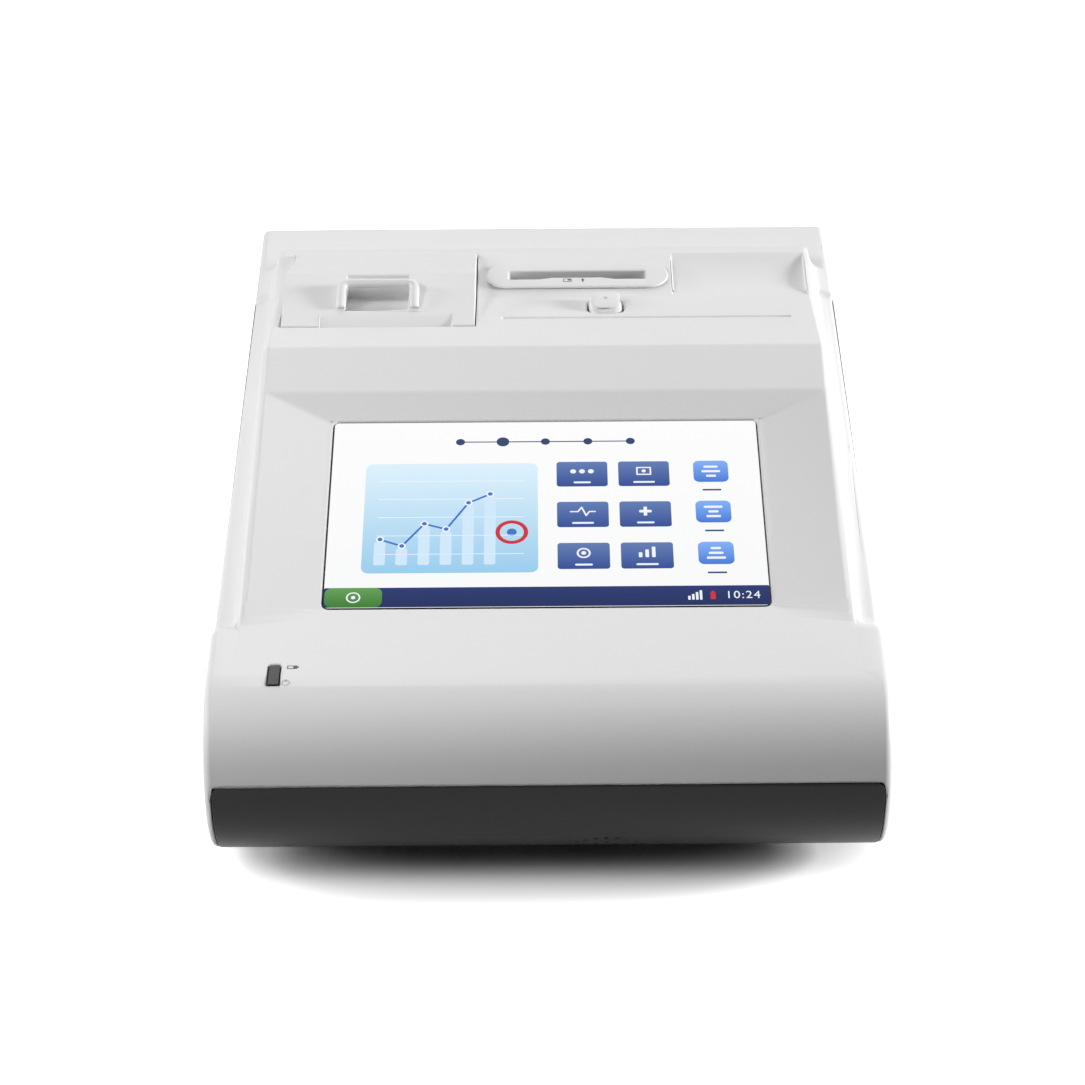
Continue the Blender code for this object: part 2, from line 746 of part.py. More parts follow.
def make_top_cover(material):
    cover = case_form("top_cover", material)
    inside = RIDGE_HALF_WIDTH - RIDGE_ROUND - COVER_WALL
    carve(cover, side_prism("cavity_upper", cavity_outline(surface_height), -inside, inside))
    belt_inside = half_width - EDGE_RADIUS - (COVER_WALL - EDGE_RADIUS / 2)
    carve(cover, side_prism("cavity_lower", lower_cavity(), -belt_inside, belt_inside))
    carve(cover, bumper_block("bumper_pocket", 0))
    carve(cover, extruded("screen_opening", [screen_outline(0)], -OVERRUN, OVERRUN, screen_plane))
    carve(cover, dish_cutter(), groove_cutter(), status_block("status_opening", 0, OVERRUN))
    add_case_posts(cover)
    add_clamp_posts(cover)
    add_button_well(cover)
    add_deck_posts(cover)
    carve(cover, slot_hole("slot_hole"), door_bay())
    carve_scanner(cover)
    return cover


def lower_cavity():
    """The inside below the belt, which reaches out under the scoops."""
    inner = NOSE_RADIUS - COVER_WALL
    points = [(COVER_WALL, -OVERRUN)]
    points += arc((NOSE_RADIUS, NOSE_CENTRE_HEIGHT), inner, half_turn, apron_tangent(), ROUND_STEPS * 2)
    depth = SCOOP_DIG + COVER_WALL / math.cos(BELT_SLOPE)
    runout = SCOOP_FRONT_SETBACK + SCOOP_RUNOUT
    rear_top = tail_head[0] - COVER_WALL
    points += [(s, belt_height(s) - depth) for s in (SCOOP_FRONT_SETBACK, runout, rear_top)]
    foot = tail_foot[1] - OVERRUN
    lean = TAIL_LEAN_RUN / TAIL_DEPTH
    points.append((rear_top + (points[-1][1] - foot) * lean, foot))
    points.append((rear_top, -OVERRUN))
    return points


def bumper_block(name, gap):
    """The space of the bumper under the nose, with rounded upper corners in front view."""
    side = half_width - CHEEK_WALL - NOSE_BOW - gap
    top = NOSE_CENTRE_HEIGHT + BUMPER_RISE - gap
    outline = [(-side, -OVERRUN), (side, -OVERRUN)]
    outline += arc((side - BUMPER_CORNER, top - BUMPER_CORNER), BUMPER_CORNER, 0, quarter_turn, ROUND_STEPS)
    outline += arc((BUMPER_CORNER - side, top - BUMPER_CORNER), BUMPER_CORNER, quarter_turn, half_turn,
                   ROUND_STEPS)
    rear = y_of(nose_point(belly_tangent())[0] + gap)
    return extruded(name, [outline], -rear, -y_of(-OVERRUN), FRONT)


def make_bumper(material):
    start = half_turn - math.asin((BUMPER_RISE + BUMPER_WALL) / NOSE_RADIUS)
    end = 2 * half_turn + belly_tangent()
    outer = arc((NOSE_RADIUS, NOSE_CENTRE_HEIGHT), NOSE_RADIUS, start, end, NOSE_STEPS)
    inner = arc((NOSE_RADIUS, NOSE_CENTRE_HEIGHT), NOSE_RADIUS - BUMPER_WALL, end, start, NOSE_STEPS)
    bumper = side_prism("front_bumper", outer + inner, -half_width, half_width, material)
    keep_common(bumper, bumper_block("bumper_outline", PIECE_GAP))
    return carve(bumper, *grille_holes())


def speaker_plane():
    """Local z points out through the middle of the grille."""
    point = nose_point(SPEAKER_ANGLE)
    place = Matrix.Translation((SPEAKER_OFFSET, y_of(point[0]), point[1]))
    return place @ Matrix.Rotation(SPEAKER_ANGLE - quarter_turn, 4, "X")


def grille_holes():
    """Rings of small holes around a middle one."""
    holes = []
    centres = [(0, 0)]
    for ring in range(1, GRILLE_RINGS + 1):
        count = round(2 * half_turn * ring * GRILLE_PITCH / GRILLE_SPACING)
        for k in range(count):
            angle = quarter_turn + 2 * half_turn * k / count
            centres.append((ring * GRILLE_PITCH * math.cos(angle), ring * GRILLE_PITCH * math.sin(angle)))
    for number, centre in enumerate(centres):
        holes.append(rod(f"grille_hole_{number}", GRILLE_HOLE_RADIUS, -BUMPER_WALL - GRILLE_PITCH,
                         GRILLE_PITCH, centre, speaker_plane(), sides=6))
    return holes


def make_speaker(material):
    top = -BUMPER_WALL - speaker_sag() - PIECE_GAP
    return rod("speaker", SPEAKER_RADIUS, top - SPEAKER_DEPTH, top, (0, 0), speaker_plane(), material,
               top_radius=SPEAKER_RADIUS)


def speaker_sag():
    """How far the bumper's inner face falls away over the speaker's radius."""
    inner = NOSE_RADIUS - BUMPER_WALL
    return inner - math.sqrt(inner * inner - SPEAKER_RADIUS * SPEAKER_RADIUS)


def screen_outline(gap):
    return rounded_rectangle(SCREEN_WIDTH - 2 * gap, SCREEN_HEIGHT - 2 * gap, SCREEN_CORNER,
                             (0, SCREEN_HEIGHT / 2))


def dish_cutter():
    """The hollow between the terrace and the rim, right of the card platform."""
    run = rim_front[0] - terrace_end[0]
    slope_points = []
    for k in range(DISH_STEPS + 1):
        share = k / DISH_STEPS
        setback = terrace_end[0] + run * share
        sag = 4 * DISH_DEPTH * share * (1 - share)
        slope_points.append((setback, surface_height(setback) - sag))
    sky = rim_front[1] + OVERRUN
    outline = slope_points + [(rim_front[0], sky), (terrace_end[0], sky)]
    return side_prism("dish_cutter", outline, DISH_LEFT, DISH_RIGHT)


def groove_cutter():
    slope = math.atan2(terrace_end[1] - terrace_start[1], terrace_end[0] - terrace_start[0])
    plane = tilted_plane((groove_setback, surface_height(groove_setback)), slope)
    centre = ((GROOVE_LEFT + GROOVE_RIGHT) / 2, 0)
    outline = rounded_rectangle(GROOVE_RIGHT - GROOVE_LEFT, GROOVE_WIDTH, GROOVE_WIDTH / 2, centre)
    return extruded("groove_cutter", [outline], -GROOVE_DEPTH, OVERRUN, plane)


def status_block(name, gap, over, material=None):
    plane = tilted_plane((STATUS_SETBACK, apron_height(STATUS_SETBACK)), apron_slope)
    half_w = STATUS_WIDTH / 2 - gap
    half_l = STATUS_LENGTH / 2 - gap
    deep = over if over > COVER_WALL else COVER_WALL
    return block(name, (STATUS_OFFSET - half_w, -half_l, -deep),
                 (STATUS_OFFSET + half_w, half_l, over if over > COVER_WALL else 0), plane, material)


def post_places():
    for number, (side, setback) in enumerate(((-1, post_front), (1, post_front),
                                              (-1, post_rear), (1, post_rear))):
        yield number + 1, side * (base_side - POST_SIDE_INSET), setback


def add_case_posts(cover):
    """Long posts that reach down to the floor of the bottom case and take its screws."""
    floor = BASE_FLOOR_HEIGHT + BASE_WALL + PIECE_GAP
    for number, x, setback in post_places():
        top = surface_height(setback) - COVER_WALL / 2
        join(cover, rod(f"case_post_{number}", POST_RADIUS, floor, top, (x, y_of(setback)),
                        sides=SMALL_SIDES))
    centres = [(x, y_of(setback)) for number, x, setback in post_places()]
    carve(cover, rods("post_bores", SCREW_RADIUS + SCREW_CLEARANCE,
                      floor - SCREW_LENGTH, floor + SCREW_LENGTH, centres))


def make_case_screws(material):
    """Pan-head screws, sunk in the floor of the bottom case."""
    head_top = BASE_FLOOR_HEIGHT
    for number, x, setback in post_places():
        place = (x, y_of(setback))
        top = BASE_FLOOR_HEIGHT + BASE_WALL + PIECE_GAP + SCREW_LENGTH - SCREW_CLEARANCE
        screw = rod(f"case_screw_{number}", SCREW_RADIUS, head_top - SCREW_HEAD_HEIGHT / 2, top, place,
                    material=material, sides=SMALL_SIDES)
        join(screw, rod(f"screw_head_{number}", SCREW_HEAD_RADIUS, head_top - SCREW_HEAD_HEIGHT - PIECE_GAP,
                        head_top - PIECE_GAP, place, sides=SMALL_SIDES))


def clamp_places():
    for across in (-1, 1):
        for run in (CLAMP_SHARE, 1 - CLAMP_SHARE):
            yield across * (SCREEN_WIDTH / 2 + DISPLAY_MARGIN + CLAMP_OVERHANG / 2), run * SCREEN_HEIGHT


def display_depth():
    """Depth of the display's back below the screen plane."""
    return COVER_WALL + PIECE_GAP + DISPLAY_THICKNESS


def add_clamp_posts(cover):
    for number, (x, run) in enumerate(clamp_places()):
        foot = -display_depth() - PIECE_GAP / 2
        join(cover, rod(f"clamp_post_{number}", CLAMP_POST_RADIUS, foot, -COVER_WALL / 2, (x, run),
                        screen_plane, sides=SMALL_SIDES))


def make_display(materials):
    """The glass lies flush in its recess; two bars hold the display behind it."""
    glass_top = -GLASS_SINK
    extruded("touch_glass", [screen_outline(PIECE_GAP)], glass_top - GLASS_THICKNESS, glass_top,
             screen_plane, materials["screen_glass"])
    half = SCREEN_WIDTH / 2 + DISPLAY_MARGIN
    top = -COVER_WALL - PIECE_GAP
    block("display_module", (-half, -DISPLAY_MARGIN, top - DISPLAY_THICKNESS),
          (half, SCREEN_HEIGHT + DISPLAY_MARGIN, top), screen_plane, materials["steel"])
    reach = half + CLAMP_OVERHANG
    for name, share in (("clamp_bar_lower", CLAMP_SHARE), ("clamp_bar_upper", 1 - CLAMP_SHARE)):
        middle = share * SCREEN_HEIGHT
        back = -display_depth() - PIECE_GAP
        block(name, (-reach, middle - CLAMP_WIDTH / 2, back - CLAMP_THICKNESS),
              (reach, middle + CLAMP_WIDTH / 2, back), screen_plane, materials["steel"])


# Bottom case

def base_outline(inset):
    """The tub of the bottom case in side view."""
    floor = BASE_FLOOR_HEIGHT + inset
    front = BASE_FRONT_SETBACK + inset
    rise = belly_height(base_rear) - BASE_FLOOR_HEIGHT
    foot = base_rear - inset / math.cos(rear_lean) + inset * math.tan(rear_lean)
    top = FLANGE_THICKNESS + abs(inset) * 2
    head = foot + BASE_REAR_LEAN * (rise + top - inset) / rise
    return [(front, floor), (foot, floor), (head, belly_height(head) + top),
            (front, belly_height(front) + top)]


def make_base_skirt(material):
    """The sloping plate that closes the underside of the cover round the bottom case."""
    front = nose_point(belly_tangent())[0] + 2 * PIECE_GAP
    rear = case_length - COVER_WALL - TAIL_RADIUS
    half = half_width - EDGE_RADIUS - COVER_WALL + EDGE_RADIUS / 2 - PIECE_GAP
    plate = [(front, belly_height(front)), (rear, belly_height(rear)),
             (rear, belly_height(rear) + FLANGE_THICKNESS), (front, belly_height(front) + FLANGE_THICKNESS)]
    skirt = side_prism("base_skirt", plate, -half, half, material)
    side = base_side + PIECE_GAP
    return carve(skirt, side_prism("skirt_opening", base_outline(-PIECE_GAP), -side, side))


def make_bottom_case(material):
    base = side_prism("bottom_case", base_outline(0), -base_side, base_side, material)
    inner = base_outline(BASE_WALL)
    carve(base, side_prism("base_inside", inner, BASE_WALL - base_side, base_side - BASE_WALL))
    centres = [(x, y_of(setback)) for number, x, setback in post_places()]
    carve(base, rods("screw_holes", SCREW_RADIUS + SCREW_CLEARANCE, 0, BASE_FLOOR_HEIGHT + 2 * BASE_WALL,
                     centres))
    add_battery_bay(base)
    add_board_bosses(base)
    carve(base, extruded("panel_opening", [panel_outline(-PIECE_GAP)], -OVERRUN, OVERRUN, rear_plane))
    return base


def add_battery_bay(base):
    """An opening in the floor with a ledge for its cover, and two ribs that hold the battery."""
    half_w = BATTERY_WIDTH / 2
    half_l = BATTERY_LENGTH / 2
    middle = y_of(battery_middle)
    floor = BASE_FLOOR_HEIGHT
    for side in (-1, 1):
        inner = side * (half_w + PIECE_GAP)
        outer = side * (half_w + PIECE_GAP + BASE_WALL)
        low = (min(inner, outer), middle - half_l, floor + BASE_WALL / 2)
        high = (max(inner, outer), middle + half_l, floor + BASE_WALL + BATTERY_THICKNESS / 2)
        join(base, block(f"battery_rib_{side + 1}", low, high))
    carve(base, block("battery_opening", (BATTERY_LEDGE - half_w, middle - half_l + BATTERY_LEDGE, 0),
                      (half_w - BATTERY_LEDGE, middle + half_l - BATTERY_LEDGE, floor + 2 * BASE_WALL)))


def make_battery(materials):
    half_w = BATTERY_WIDTH / 2
    half_l = BATTERY_LENGTH / 2
    middle = y_of(battery_middle)
    low = BASE_FLOOR_HEIGHT + BASE_WALL + PIECE_GAP
    block("battery_pack", (-half_w, middle - half_l, low), (half_w, middle + half_l, low + BATTERY_THICKNESS),
          material=materials["battery_wrap"])
    lip = BATTERY_LEDGE + PIECE_GAP
    block("battery_cover", (lip - half_w, middle - half_l + lip, BASE_FLOOR_HEIGHT),
          (half_w - lip, middle + half_l - lip, BASE_FLOOR_HEIGHT + BATTERY_COVER_THICKNESS),
          material=materials["cover_white"])


def board_boss_places():
    for x in (-1, 1):
        for y in (-1, 1):
            yield (x * (BOARD_WIDTH / 2 - BOARD_BOSS_INSET),
                   y_of(board_middle) + y * (BOARD_LENGTH / 2 - BOARD_BOSS_INSET))


def add_board_bosses(base):
    for number, place in enumerate(board_boss_places()):
        join(base, rod(f"board_boss_{number}", BOARD_BOSS_RADIUS, BASE_FLOOR_HEIGHT + BASE_WALL / 2,
                       board_height - PIECE_GAP, place, sides=SMALL_SIDES))


def make_main_board(material):
    half_w = BOARD_WIDTH / 2
    half_l = BOARD_LENGTH / 2
    middle = y_of(board_middle)
    board = block("main_board", (-half_w, middle - half_l, board_height),
                  (half_w, middle + half_l, board_height + BOARD_THICKNESS), material=material)
    top = board_height + BOARD_THICKNESS
    for number, share in enumerate((-1, 0, 1)):
        x = share * BOARD_WIDTH / 4
        low = (x - CHIP_SIZE / 2, middle - CHIP_SIZE / 2, top - BOARD_THICKNESS / 2)
        high = (x + CHIP_SIZE / 2, middle + CHIP_SIZE / 2, top + CHIP_THICKNESS)
        join(board, block(f"chip_{number}", low, high))
    return board


def make_feet(material):
    number = 0
    for side in (-1, 1):
        for setback in (foot_front, foot_rear):
            number += 1
            rod(f"foot_{number}", FOOT_TOP_RADIUS, 0, BASE_FLOOR_HEIGHT - PIECE_GAP,
                (side * (base_side - FOOT_SIDE_INSET), y_of(setback)), material=material,
                top_radius=FOOT_RADIUS)


# Card slot and release button

def slot_outline():
    """The card slot, whose lower lip rises to a tab in the middle."""
    half = SLOT_WIDTH / 2
    low = BEZEL_CENTRE_RUN - SLOT_HEIGHT / 2
    high = BEZEL_CENTRE_RUN + SLOT_HEIGHT / 2
    tab = SLOT_TAB_WIDTH / 2
    profile = [(-half, low), (-tab - SLOT_TAB_RAMP, low), (-tab, low + SLOT_TAB_RISE),
               (tab, low + SLOT_TAB_RISE), (tab + SLOT_TAB_RAMP, low), (half, low), (half, high),
               (-half, high)]
    return [(BEZEL_OFFSET + x, y) for x, y in profile]


def slot_hole(name):
    grow = CARD_GUIDE_WALL + PIECE_GAP
    outline = rounded_rectangle(SLOT_WIDTH + 2 * grow, SLOT_HEIGHT + 2 * grow, CARD_GUIDE_WALL,
                                (BEZEL_OFFSET, BEZEL_CENTRE_RUN))
    return extruded(name, [outline], -OVERRUN / 2, OVERRUN, platform_plane)


def make_card_slot(materials):
    centre = (BEZEL_OFFSET, BEZEL_CENTRE_RUN)
    stadium = rounded_rectangle(BEZEL_WIDTH, BEZEL_HEIGHT, BEZEL_HEIGHT / 2, centre, ROUND_STEPS * 2)
    bezel = extruded("slot_bezel", [stadium], PIECE_GAP, BEZEL_RISE, platform_plane, materials["cover_white"])
    neck = rounded_rectangle(SLOT_WIDTH + 2 * CARD_GUIDE_WALL, SLOT_HEIGHT + 2 * CARD_GUIDE_WALL,
                             CARD_GUIDE_WALL, centre)
    join(bezel, extruded("bezel_neck", [neck], -COVER_WALL, (PIECE_GAP + BEZEL_RISE) / 2, platform_plane))
    carve(bezel, extruded("bezel_slot", [slot_outline()], -OVERRUN, OVERRUN, platform_plane))
    top = -COVER_WALL - PIECE_GAP - CARD_GUIDE_WALL
    low = top - CARD_GUIDE_DEPTH
    half_w = SLOT_WIDTH / 2 + CARD_GUIDE_WALL
    half_h = SLOT_HEIGHT / 2 + CARD_GUIDE_WALL
    guide_left = BEZEL_OFFSET - half_w
    guide = block("card_guide", (guide_left, BEZEL_CENTRE_RUN - half_h, low),
                  (BEZEL_OFFSET + half_w, BEZEL_CENTRE_RUN + half_h, top + CARD_GUIDE_WALL - PIECE_GAP),
                  platform_plane, materials["inner_plastic"])
    carve(guide, extruded("guide_slot", [slot_outline()], low - OVERRUN, OVERRUN, platform_plane))
    block_half = half_w + CONTACT_BLOCK_GROWTH
    block("contact_block", (BEZEL_OFFSET - block_half, BEZEL_CENTRE_RUN - half_h - CONTACT_BLOCK_GROWTH,
                            low - PIECE_GAP - CONTACT_BLOCK_DEPTH),
          (BEZEL_OFFSET + block_half, BEZEL_CENTRE_RUN + half_h + CONTACT_BLOCK_GROWTH, low - PIECE_GAP),
          platform_plane, materials["inner_plastic"])
    heater_half = SLOT_WIDTH / 2 * HEATER_SHARE
    face = BEZEL_CENTRE_RUN + half_h + PIECE_GAP
    block("heater_block", (BEZEL_OFFSET - heater_half, face, low),
          (BEZEL_OFFSET + heater_half, face + HEATER_THICKNESS, low + CARD_GUIDE_DEPTH / 2),
          platform_plane, materials["steel"])


def button_floor():
    """Height of the switch board's top under the release button."""
    return surface_height(button_setback) - COVER_WALL - BUTTON_SKIRT - SPRING_LENGTH + COVER_WALL / 2


def add_button_well(cover):
    """A square well that guides the release button and carries its switch board."""
    centre = (BUTTON_OFFSET, y_of(button_setback))
    outer = BUTTON_SIZE + 2 * (PIECE_GAP + BUTTON_WELL_WALL)
    top = surface_height(button_setback) - COVER_WALL / 2
    join(cover, extruded("button_well", [rounded_rectangle(outer, outer, BUTTON_CORNER, centre)],
                         button_floor() + PIECE_GAP, top))
    hole = BUTTON_SIZE + 2 * PIECE_GAP
    carve(cover, extruded("button_hole", [rounded_rectangle(hole, hole, BUTTON_CORNER + PIECE_GAP, centre)],
                          button_floor() - OVERRUN / 4, top + OVERRUN))


def make_release_button(materials):
    centre = (BUTTON_OFFSET, y_of(button_setback))
    surface = surface_height(button_setback)
    top = surface + BUTTON_PROUD
    skirt_low = surface - COVER_WALL / 2 - BUTTON_SKIRT + PIECE_GAP
    cap = extruded("release_button", [rounded_rectangle(BUTTON_SIZE, BUTTON_SIZE, BUTTON_CORNER, centre)],
                   skirt_low, top - BUTTON_DOME, material=materials["cover_white"])
    inner = BUTTON_SIZE - 2 * BUTTON_DOME
    join(cap, extruded("button_dome", [rounded_rectangle(inner, inner, BUTTON_CORNER - BUTTON_DOME, centre)],
                       top - 2 * BUTTON_DOME, top))
    stem_low = button_floor() + BUTTON_TRAVEL + PIECE_GAP
    join(cap, rod("button_stem", BUTTON_STEM_RADIUS, stem_low, skirt_low + BUTTON_DOME, centre,
                  sides=SMALL_SIDES))
    half = BUTTON_SIZE / 2 + PIECE_GAP + BUTTON_WELL_WALL
    floor = button_floor()
    block("switch_board", (centre[0] - half, centre[1] - half, floor - SWITCH_BOARD_THICKNESS),
          (centre[0] + half, centre[1] + half, floor), material=materials["board_green"])
    make_spring(centre, floor + PIECE_GAP + SPRING_WIRE, skirt_low - PIECE_GAP - SPRING_WIRE,
                materials["steel"])


def make_spring(centre, low, high, material):
    """A compression spring, one wire wound as a helix."""
    steps = SPRING_TURNS * 10
    curve = bpy.data.curves.new("button_spring", "CURVE")
    curve.dimensions = "3D"
    curve.bevel_depth = SPRING_WIRE
    curve.bevel_resolution = 1
    curve.use_fill_caps = True
    spline = curve.splines.new("POLY")
    spline.points.add(steps)
    for k, point in enumerate(spline.points):
        angle = 2 * half_turn * SPRING_TURNS * k / steps
        point.co = (centre[0] + SPRING_RADIUS * math.cos(angle), centre[1] + SPRING_RADIUS * math.sin(angle),
                    low + (high - low) * k / steps, 1)
    holder = bpy.data.objects.new("spring_path", curve)
    bpy.context.scene.collection.objects.link(holder)
    mesh = mesh_of(holder)
    bpy.data.objects.remove(holder)
    return finish_object("button_spring", mesh, material)


# Printer

door_front = (door_front_setback, surface_height(door_front_setback) + PIECE_GAP)
door_crease = (door_crease_setback, door_top_height)
door_slope = math.atan2(door_crease[1] - door_front[1], door_crease[0] - door_front[0])


def door_height(setback):
    return chain_height(setback, [door_front, door_crease, (hinge_axis[0], door_top_height)])


def door_bay():
    """The opening in the cover; its rear wall clears the door as it swings open."""
    radius = HINGE_RADIUS + DOOR_GAP
    front = door_front_setback - DOOR_GAP
    low = deck_height + DECK_THICKNESS / 2
    top = rim_front[1] + OVERRUN
    edge = (radius - (top - hinge_axis[1]) * math.cos(DOOR_OPEN_ANGLE)) / math.sin(DOOR_OPEN_ANGLE)
    outline = [(front, low), (front, top), (hinge_axis[0] + edge, top)]
    outline += arc(hinge_axis, radius, quarter_turn - DOOR_OPEN_ANGLE, 0, ROUND_STEPS)
    outline.append((hinge_axis[0] + radius, low))
    bay = side_prism("door_bay", outline, DOOR_LEFT - DOOR_GAP, DOOR_RIGHT + DOOR_GAP)
    return carve(bay, door_jog("bay_jog", DOOR_GAP))


def door_jog(name, gap):
    """The space left of the rear half of the door, which is narrower than its front."""
    left = DOOR_LEFT - gap
    turn_front = y_of(door_crease_setback) + gap
    turn_rear = y_of(door_crease_setback + DOOR_JOG_RUN) + gap
    outline = [(left - OVERRUN, turn_front), (left, turn_front), (left + DOOR_JOG, turn_rear),
               (left + DOOR_JOG, y_of(case_length)), (left - OVERRUN, y_of(case_length))]
    return extruded(name, [outline], deck_height, rim_front[1] + 2 * OVERRUN)


def add_deck_posts(cover):
    """Short posts outside the door bay, on which the printer's deck hangs."""
    for number, setback in enumerate((deck_front + DECK_POST_EDGE, deck_rear - DECK_POST_EDGE)):
        top = surface_height(setback) - COVER_WALL / 2
        for side, x in enumerate((DOOR_LEFT + DECK_POST_INSET, DOOR_RIGHT - DECK_POST_INSET)):
            join(cover, rod(f"deck_post_{number}_{side}", DECK_POST_RADIUS, deck_height + PIECE_GAP, top,
                            (x, y_of(setback)), sides=SMALL_SIDES))


def door_shell_outline():
    """The door's top plate in side view, ending in its round hinge edge."""
    drop = DOOR_WALL / math.cos(door_slope)
    outline = [(door_front[0], door_front[1] - drop), door_front, door_crease,
               (hinge_axis[0], door_top_height)]
    outline += arc(hinge_axis, HINGE_RADIUS, quarter_turn, -quarter_turn / 2, ROUND_STEPS * 2)[1:]
    outline += arc(hinge_axis, HINGE_RADIUS - DOOR_WALL, -quarter_turn / 2, quarter_turn, ROUND_STEPS)
    outline.append((door_crease[0] + drop * math.tan(door_slope / 2), door_top_height - DOOR_WALL))
    return outline


def door_side_outline():
    low = skirt_height
    outline = [(door_front[0] + DOOR_WALL, low), (door_front[0], door_front[1] - DOOR_WALL / 2), door_front,
               door_crease, (hinge_axis[0], door_top_height)]
    outline += arc(hinge_axis, HINGE_RADIUS, quarter_turn, -quarter_turn, ROUND_STEPS * 2)[1:]
    outline.append((hinge_axis[0] - HINGE_RADIUS, low))
    return outline


def lip_outline():
    """What is taken off the door's front, so that it rolls down to the paper exit."""
    drop = [(door_front[0] + LIP_RUN * (1 - share), LIP_DROP * share * share)
            for share in (k / ROUND_STEPS for k in range(ROUND_STEPS + 1))]
    outline = [(setback, door_height(setback) - depth) for setback, depth in drop]
    return outline + [(door_front[0] - OVERRUN, outline[-1][1]), (door_front[0] - OVERRUN, door_top_height)]


def lip_backing():
    """A thicker stretch of the door's plate, under the lip."""
    rear = door_front[0] + LIP_RUN + 2 * LIP_BACKING
    drop = DOOR_WALL / math.cos(door_slope)
    outline = [(door_front[0], door_front[1] - drop - LIP_BACKING), (door_front[0], door_front[1] - drop / 2),
               (rear, door_height(rear) - drop / 2), (rear, door_height(rear) - drop - LIP_BACKING)]
    return side_prism("lip_backing", outline, LIP_LEFT - LIP_END_WALL, LIP_RIGHT + LIP_END_WALL)


def make_door(materials):
    side_left = DOOR_LEFT + DOOR_JOG
    door = side_prism("printer_door", door_shell_outline(), DOOR_LEFT, DOOR_RIGHT, materials["cover_white"])
    join(door, lip_backing(),
         side_prism("door_side_left", door_side_outline(), side_left, side_left + DOOR_WALL),
         side_prism("door_side_right", door_side_outline(), DOOR_RIGHT - DOOR_WALL, DOOR_RIGHT))
    join(door, block("pocket_shell", (POCKET_LEFT - POCKET_WALL, y_of(pocket_front) - POCKET_WALL,
                                      pocket_floor - POCKET_WALL),
                     (POCKET_RIGHT + POCKET_WALL, y_of(pocket_rear) + POCKET_WALL,
                      door_front[1] + POCKET_WALL)))
    join(door, pocket_walls())
    carve(door, block("door_pocket", (POCKET_LEFT, y_of(pocket_front), pocket_floor),
                      (POCKET_RIGHT, y_of(pocket_rear), door_top_height + OVERRUN)))
    notch = door_front[0] + LIP_NOTCH_DEPTH
    carve(door, door_jog("door_corner", 0), side_prism("lip_roll", lip_outline(), LIP_LEFT, LIP_RIGHT))
    carve(door, block("lip_notch", (LIP_LEFT, y_of(door_front[0] - OVERRUN), skirt_height - OVERRUN),
                      (LIP_RIGHT, y_of(notch), door_top_height + OVERRUN)))
    for number, x in enumerate(roller_ear_places()):
        top = door_height(roller_axis[0]) - DOOR_WALL / 2
        ear = [(roller_axis[0] - ROLLER_EAR_RADIUS, top),
               *arc(roller_axis, ROLLER_EAR_RADIUS, half_turn, 2 * half_turn, ROUND_STEPS * 2),
               (roller_axis[0] + ROLLER_EAR_RADIUS, top)]
        join(door, side_prism(f"roller_ear_{number}", ear, x, x + ROLLER_EAR))
    carve(door, rod("roller_bore", ROLLER_SHAFT_RADIUS + RUNNING_GAP, side_left + DOOR_WALL + RUNNING_GAP,
                    DOOR_RIGHT - 2 * DOOR_WALL, (y_of(roller_axis[0]), roller_axis[1]), SIDE,
                    sides=SMALL_SIDES))
    for number, left in enumerate(hinge_ear_places()):
        low = (left - PIECE_GAP, y_of(hinge_axis[0] - HINGE_RADIUS), skirt_height - OVERRUN)
        high = (left + HINGE_EAR_WIDTH + PIECE_GAP, y_of(hinge_axis[0] + 2 * HINGE_RADIUS),
                hinge_axis[1] + HINGE_NOTCH_RISE)
        carve(door, block(f"ear_notch_{number}", low, high))
    for name, (inner, outer) in hinge_stub_places().items():
        join(door, rod(name, HINGE_PIN_RADIUS, inner, outer, (y_of(hinge_axis[0]), hinge_axis[1]), SIDE,
                       sides=SMALL_SIDES))
    make_handle_loop(materials["cover_white"])
    return door


def pocket_walls():
    """The walls of the finger pocket, from its floor up to the sloping face."""
    outline = [(pocket_front - POCKET_WALL, door_front[1]),
               (pocket_rear + POCKET_WALL, door_front[1]),
               (pocket_rear + POCKET_WALL, door_height(pocket_rear) - POCKET_WALL),
               (pocket_front - POCKET_WALL, door_height(pocket_front) - 2 * POCKET_WALL)]
    return side_prism("pocket_walls", outline, POCKET_LEFT - POCKET_WALL, POCKET_RIGHT + POCKET_WALL)


def roller_ear_places():
    """Left edges of the two ears that carry the platen roller."""
    return (ROLLER_LEFT - RUNNING_GAP - ROLLER_EAR, ROLLER_LEFT + ROLLER_LENGTH + RUNNING_GAP)


def hinge_ear_places():
    """Left edges of the two ears of the printer deck that carry the door."""
    left = DOOR_LEFT + DOOR_JOG + DOOR_WALL + PIECE_GAP
    right = DOOR_RIGHT - DOOR_WALL - PIECE_GAP - HINGE_EAR_WIDTH
    return (left, right)


def hinge_stub_places():
    left, right = hinge_ear_places()
    return {"hinge_stub_left": (left - PIECE_GAP - DOOR_WALL / 2, left + HINGE_EAR_WIDTH),
            "hinge_stub_right": (right, DOOR_RIGHT - DOOR_WALL / 2)}


